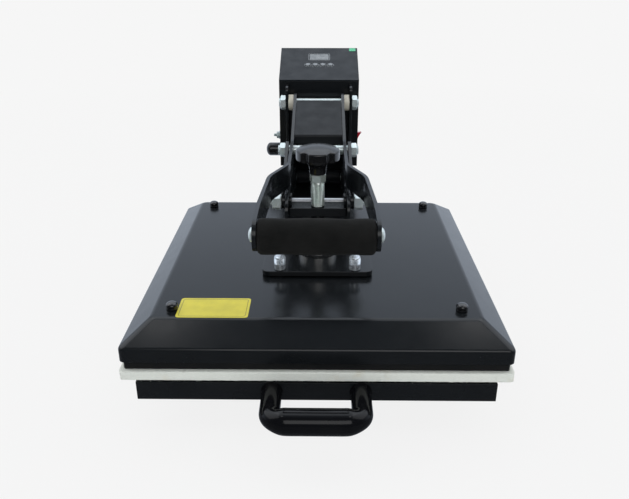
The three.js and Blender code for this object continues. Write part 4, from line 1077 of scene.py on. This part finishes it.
# The tilted panel starts at its front edge, with Y up along it and Z out of it
PANEL_RUN, PANEL_RISE = 303.0 - 224.0, 213.8 - 181.5
PANEL_LENGTH = hypot(PANEL_RUN, PANEL_RISE)
PANEL = place((0, 224.0, RIM + 181.8)) @ spin(atan2(PANEL_RISE, PANEL_RUN), "X")
PANEL_FACE = 2.0
KEY_ROW = PANEL_LENGTH * 0.46
KEYS = (("mode", -16.5), ("down", -5.5), ("up", 5.5), ("set", 16.5))
BOX_SIDE = 57.3
BOX_PARTS_Y = 278.0

# A thin line round the display and round each key
window = (0, PANEL_LENGTH * 0.72)
outer = rounded_rectangle(31.5, 18.0, 1.8, 5, window)
lines = [(outer, rounded_rectangle(30.3, 16.8, 1.4, 5, window))]
lines += [[circle(radius, 40, (x, KEY_ROW)) for radius in (4.9, 4.5)] for _, x in KEYS]
form = Form()
for outer, inner in lines:
    form.add(band(outer, inner, PANEL_FACE - 0.05, PANEL_FACE + 0.04), PANEL)
emit("panel_print", form, segment_ink, "root", sharp=40)

profile = [(0, -1.6), (3.3, -1.6), (3.3, 0.9), (3.05, 1.35), (2.4, 1.52), (1.2, 1.58)]
for word, x in KEYS:
    form = Form().add(lathe([*profile, (0, 1.6)], 40), PANEL @ place((x, KEY_ROW, PANEL_FACE)))
    emit(f"key_{word}", form, cap_plastic, f"{word}_button", f"button_{word}", sharp=40)

# Pull tab of the clear film that still covers the panel
outline = rounded_rectangle(9.5, 8.0, 1.2, 5, (49.5, PANEL_LENGTH - 3.6))
form = Form().add(slab(outline, PANEL_FACE + 0.03, PANEL_FACE + 0.2), PANEL)
emit("film_tab", form, green_film, "root", sharp=40)

# Rocker drawn in X and Y, with its front face curved from one end to the other
spot = place((0, BOX_PARTS_Y, RIM + 87.0)) @ spin(pi / 2, "X")
root, face, half = 57.0, BOX_SIDE, 7.4
near, bend, far = face + 1.6, face + 2.2, face + 8.2
line = [(root, -half / 3), (near, -half)]
for step in range(1, 16):
    t = step / 16
    x = near * (1 - t) ** 2 + bend * 2 * t * (1 - t) + far * t * t
    line.append((x, half * (2 * t - 1)))
line += [(far, half), (face + 0.6, half * 0.9), (root, half / 3)]
form = Form().add(slab(line, -3.65, 3.65), spot)
emit("red_rocker", form, red_plastic, "rocker", "rocker_switch", 0.5, 3, sharp=60)

# Domed fuse cap on the left side of the box, and the earth stud above it
spot = place((-BOX_SIDE, BOX_PARTS_Y, RIM + 67.0), "-x")
profile = [(0, 0), (11.2, 0), (11.2, 1.2), (10.0, 1.3), (10.0, 18.0)]
profile += [(10.0 * cosine, 18.0 + 6.5 * sine) for sine, cosine in quarter(12)[:-1]]
form = Form().add(lathe([*profile, (0, 24.5)], 64), spot)
form.add(shaft(4.5, -16.0, 0.2, 32), spot)
emit("fuse_cap", form, knob_plastic, "root", "fuse_holder", sharp=40)

spot = place((-BOX_SIDE, BOX_PARTS_Y, RIM + 89.5), "-x")
form = Form()
form.add(hexagon(11.5, 3.8, 2.4, 48), spot)
form.add(washer(6.0, 2.4, 0.9), spot @ place((0, 0, 3.9)))
form.add(hexagon(9.2, 3.2, 2.4, 48), spot @ place((0, 0, 4.9)))
form.add(thread(2.4, 0.8, -7.5, 12.4, 24), spot)
emit("earth_stud", form, zinc, "root", "earth_terminal", sharp=30)

# Pan heads with a cross in each
radius, slot = 3.2, 3.2 * 0.55
head = [(0, 0), (radius, 0), (radius, 0.7), (radius * 0.72, 1.7), (0, 1.9)]
form = Form()
for x in (-49.0, 49.0):
    for z in (166.0, 234.0, 302.0):
        where = place((x, 304.85, z), "y")
        form.add(lathe(soften(head, 0.4, 3), 32), where)
        for turn in (0.4, 0.4 + pi / 2):
            bar = box(-slot, slot, -0.28, 0.28, 1.5, 1.93)
            form.add(bar, where @ spin(turn))
emit("back_screws", form, zinc, "root", sharp=40)


# Studio, in metres

BACKGROUND = (0.922, 0.922, 0.922, 1)
REFLECTED = (0.83, 0.93, 1.08, 1)


def calculate(tree, operation, *sources, kind="Math"):
    node = tree.nodes.new("ShaderNode" + kind)
    node.operation = operation
    for socket, source in zip(node.inputs, sources):
        tree.links.new(source, socket)
    return node.outputs["Value"]


def graded(owner, kind, low, high, least):
    """From least at the front to 1 towards the back, as in a studio whose front is unlit."""
    tree = owner.node_tree
    coordinates = tree.nodes.new("ShaderNodeTexCoord")
    parts = tree.nodes.new("ShaderNodeSeparateXYZ")
    tree.links.new(coordinates.outputs[kind], parts.inputs[0])
    result = spread(owner, parts.outputs["Y"], least, 1.0, low, high)
    result.node.interpolation_type = "SMOOTHSTEP"
    return result


def show_background(tree, lit, socket, flat_kind, strength, share=None):
    """Camera rays see the flat background; reflections and glass see it too, graded."""
    path = tree.nodes.new("ShaderNodeLightPath")
    seen, mirrored = tree.nodes.new(flat_kind), tree.nodes.new(flat_kind)
    set_inputs(seen, Color=BACKGROUND)
    set_inputs(mirrored, Color=REFLECTED)
    tree.links.new(strength, mirrored.inputs["Strength"])
    glossy, through = path.outputs["Is Glossy Ray"], path.outputs["Is Transmission Ray"]
    bounced = calculate(tree, "MAXIMUM", glossy, through)
    for ray, flat in ((bounced, mirrored), (path.outputs["Is Camera Ray"], seen)):
        if share:
            ray = calculate(tree, "MULTIPLY", ray, share)
        mix = tree.nodes.new("ShaderNodeMixShader")
        for port, source in zip(mix.inputs, (ray, lit, flat.outputs[0])):
            tree.links.new(source, port)
        lit = mix.outputs[0]
    tree.links.new(lit, socket)


def blank_tree(owner, output, surface, **inputs):
    """An empty node tree with an output and one surface."""
    owner.use_nodes = True
    tree = owner.node_tree
    tree.nodes.clear()
    out, lit = tree.nodes.new(output), tree.nodes.new(surface)
    set_inputs(lit, **inputs)
    return tree, lit.outputs[0], out.inputs["Surface"]


def area(name, spot, aim, size, power, color=(1, 1, 1)):
    lamp = bpy.data.lights.new(name, "AREA")
    lamp.shape = "RECTANGLE"
    lamp.size, lamp.size_y = size
    lamp.energy = power
    lamp.color = color
    obj = new_object(name, lamp)
    obj.location = spot
    obj.rotation_euler = (Vector(aim) - Vector(spot)).to_track_quat("-Z", "Y").to_euler()


# A floor that turns up into a backdrop far behind, in one smooth sweep
made = bpy.data.materials.new("studio_white")
tree, lit, socket = blank_tree(
    made, "ShaderNodeOutputMaterial", "ShaderNodeBsdfDiffuse", Color=(0.80, 0.80, 0.80, 1),
)
strength = graded(made, "Object", -0.32, 0.30, 0.13)
coordinates = tree.nodes.new("ShaderNodeTexCoord")
away = calculate(tree, "LENGTH", coordinates.outputs["Object"], kind="VectorMath")
share = spread(made, away, 0.92, 1.0, 0.5, 1.8)
show_background(tree, lit, socket, "ShaderNodeEmission", strength, share)

flat, radius, top, side = 3.0, 1.5, 7.0, 9.0
rows = [(-6.0, 0.0), (flat, 0.0)]
rows += [(flat + radius * sine, radius - radius * cosine) for sine, cosine in quarter(12)]
rows.append((flat + radius, top))
verts = [(x, y, z) for y, z in rows for x in (-side, side)]
faces = [[2 * i, 2 * i + 1, 2 * i + 3, 2 * i + 2] for i in range(len(rows) - 1)]
mesh = bpy.data.meshes.new("floor")
mesh.from_pydata(verts, [], faces)
mesh.materials.append(made)
mesh.polygons.foreach_set("use_smooth", [True] * len(faces))
new_object("floor", mesh)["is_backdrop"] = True

world = bpy.data.worlds.new("studio")
bpy.context.scene.world = world
background = "ShaderNodeBackground"
tree, lit, socket = blank_tree(
    world, "ShaderNodeOutputWorld", background, Color=(0.96, 0.98, 1.0, 1), Strength=0.45,
)
strength = graded(world, "Generated", -0.40, 0.35, 0.10)
show_background(tree, lit, socket, background, strength)

HEAD = (0, 0, 0.1)
area("top_box", (0.0, 0.95, 2.4), (0, 0.1, 0.1), (3.2, 2.3), 25.5, (0.95, 0.98, 1.0))
area("left_key", (-0.62, -0.42, 1.9), HEAD, (0.30, 0.20), 0.8)
area("right_key", (0.62, -0.42, 1.9), HEAD, (0.30, 0.20), 0.8)
area("left_box", (-1.75, 0.2, 1.75), HEAD, (2.2, 1.6), 14)
area("right_box", (1.75, 0.2, 1.75), HEAD, (2.2, 1.6), 12)
area("front_fill", (0.3, -2.2, 1.5), HEAD, (1.8, 1.2), 17)

# The camera's focal length is in pixels of the photograph, which is 629 wide
FOCAL, PHOTO_WIDTH = 678.7, 629.0
lens = bpy.data.cameras.new("camera")
lens.sensor_fit = "HORIZONTAL"
lens.sensor_width = 36.0
lens.lens = FOCAL / PHOTO_WIDTH * lens.sensor_width
lens.clip_start, lens.clip_end = 0.01, 60.0
camera = new_object("camera", lens)
camera.location = (0.00444, -0.78118, 0.46059)
camera.rotation_euler = (radians(90 - 24.341), 0.0, radians(0.633))
bpy.context.scene.camera = camera
bpy.context.scene.view_settings.view_transform = "Standard"

low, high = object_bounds()
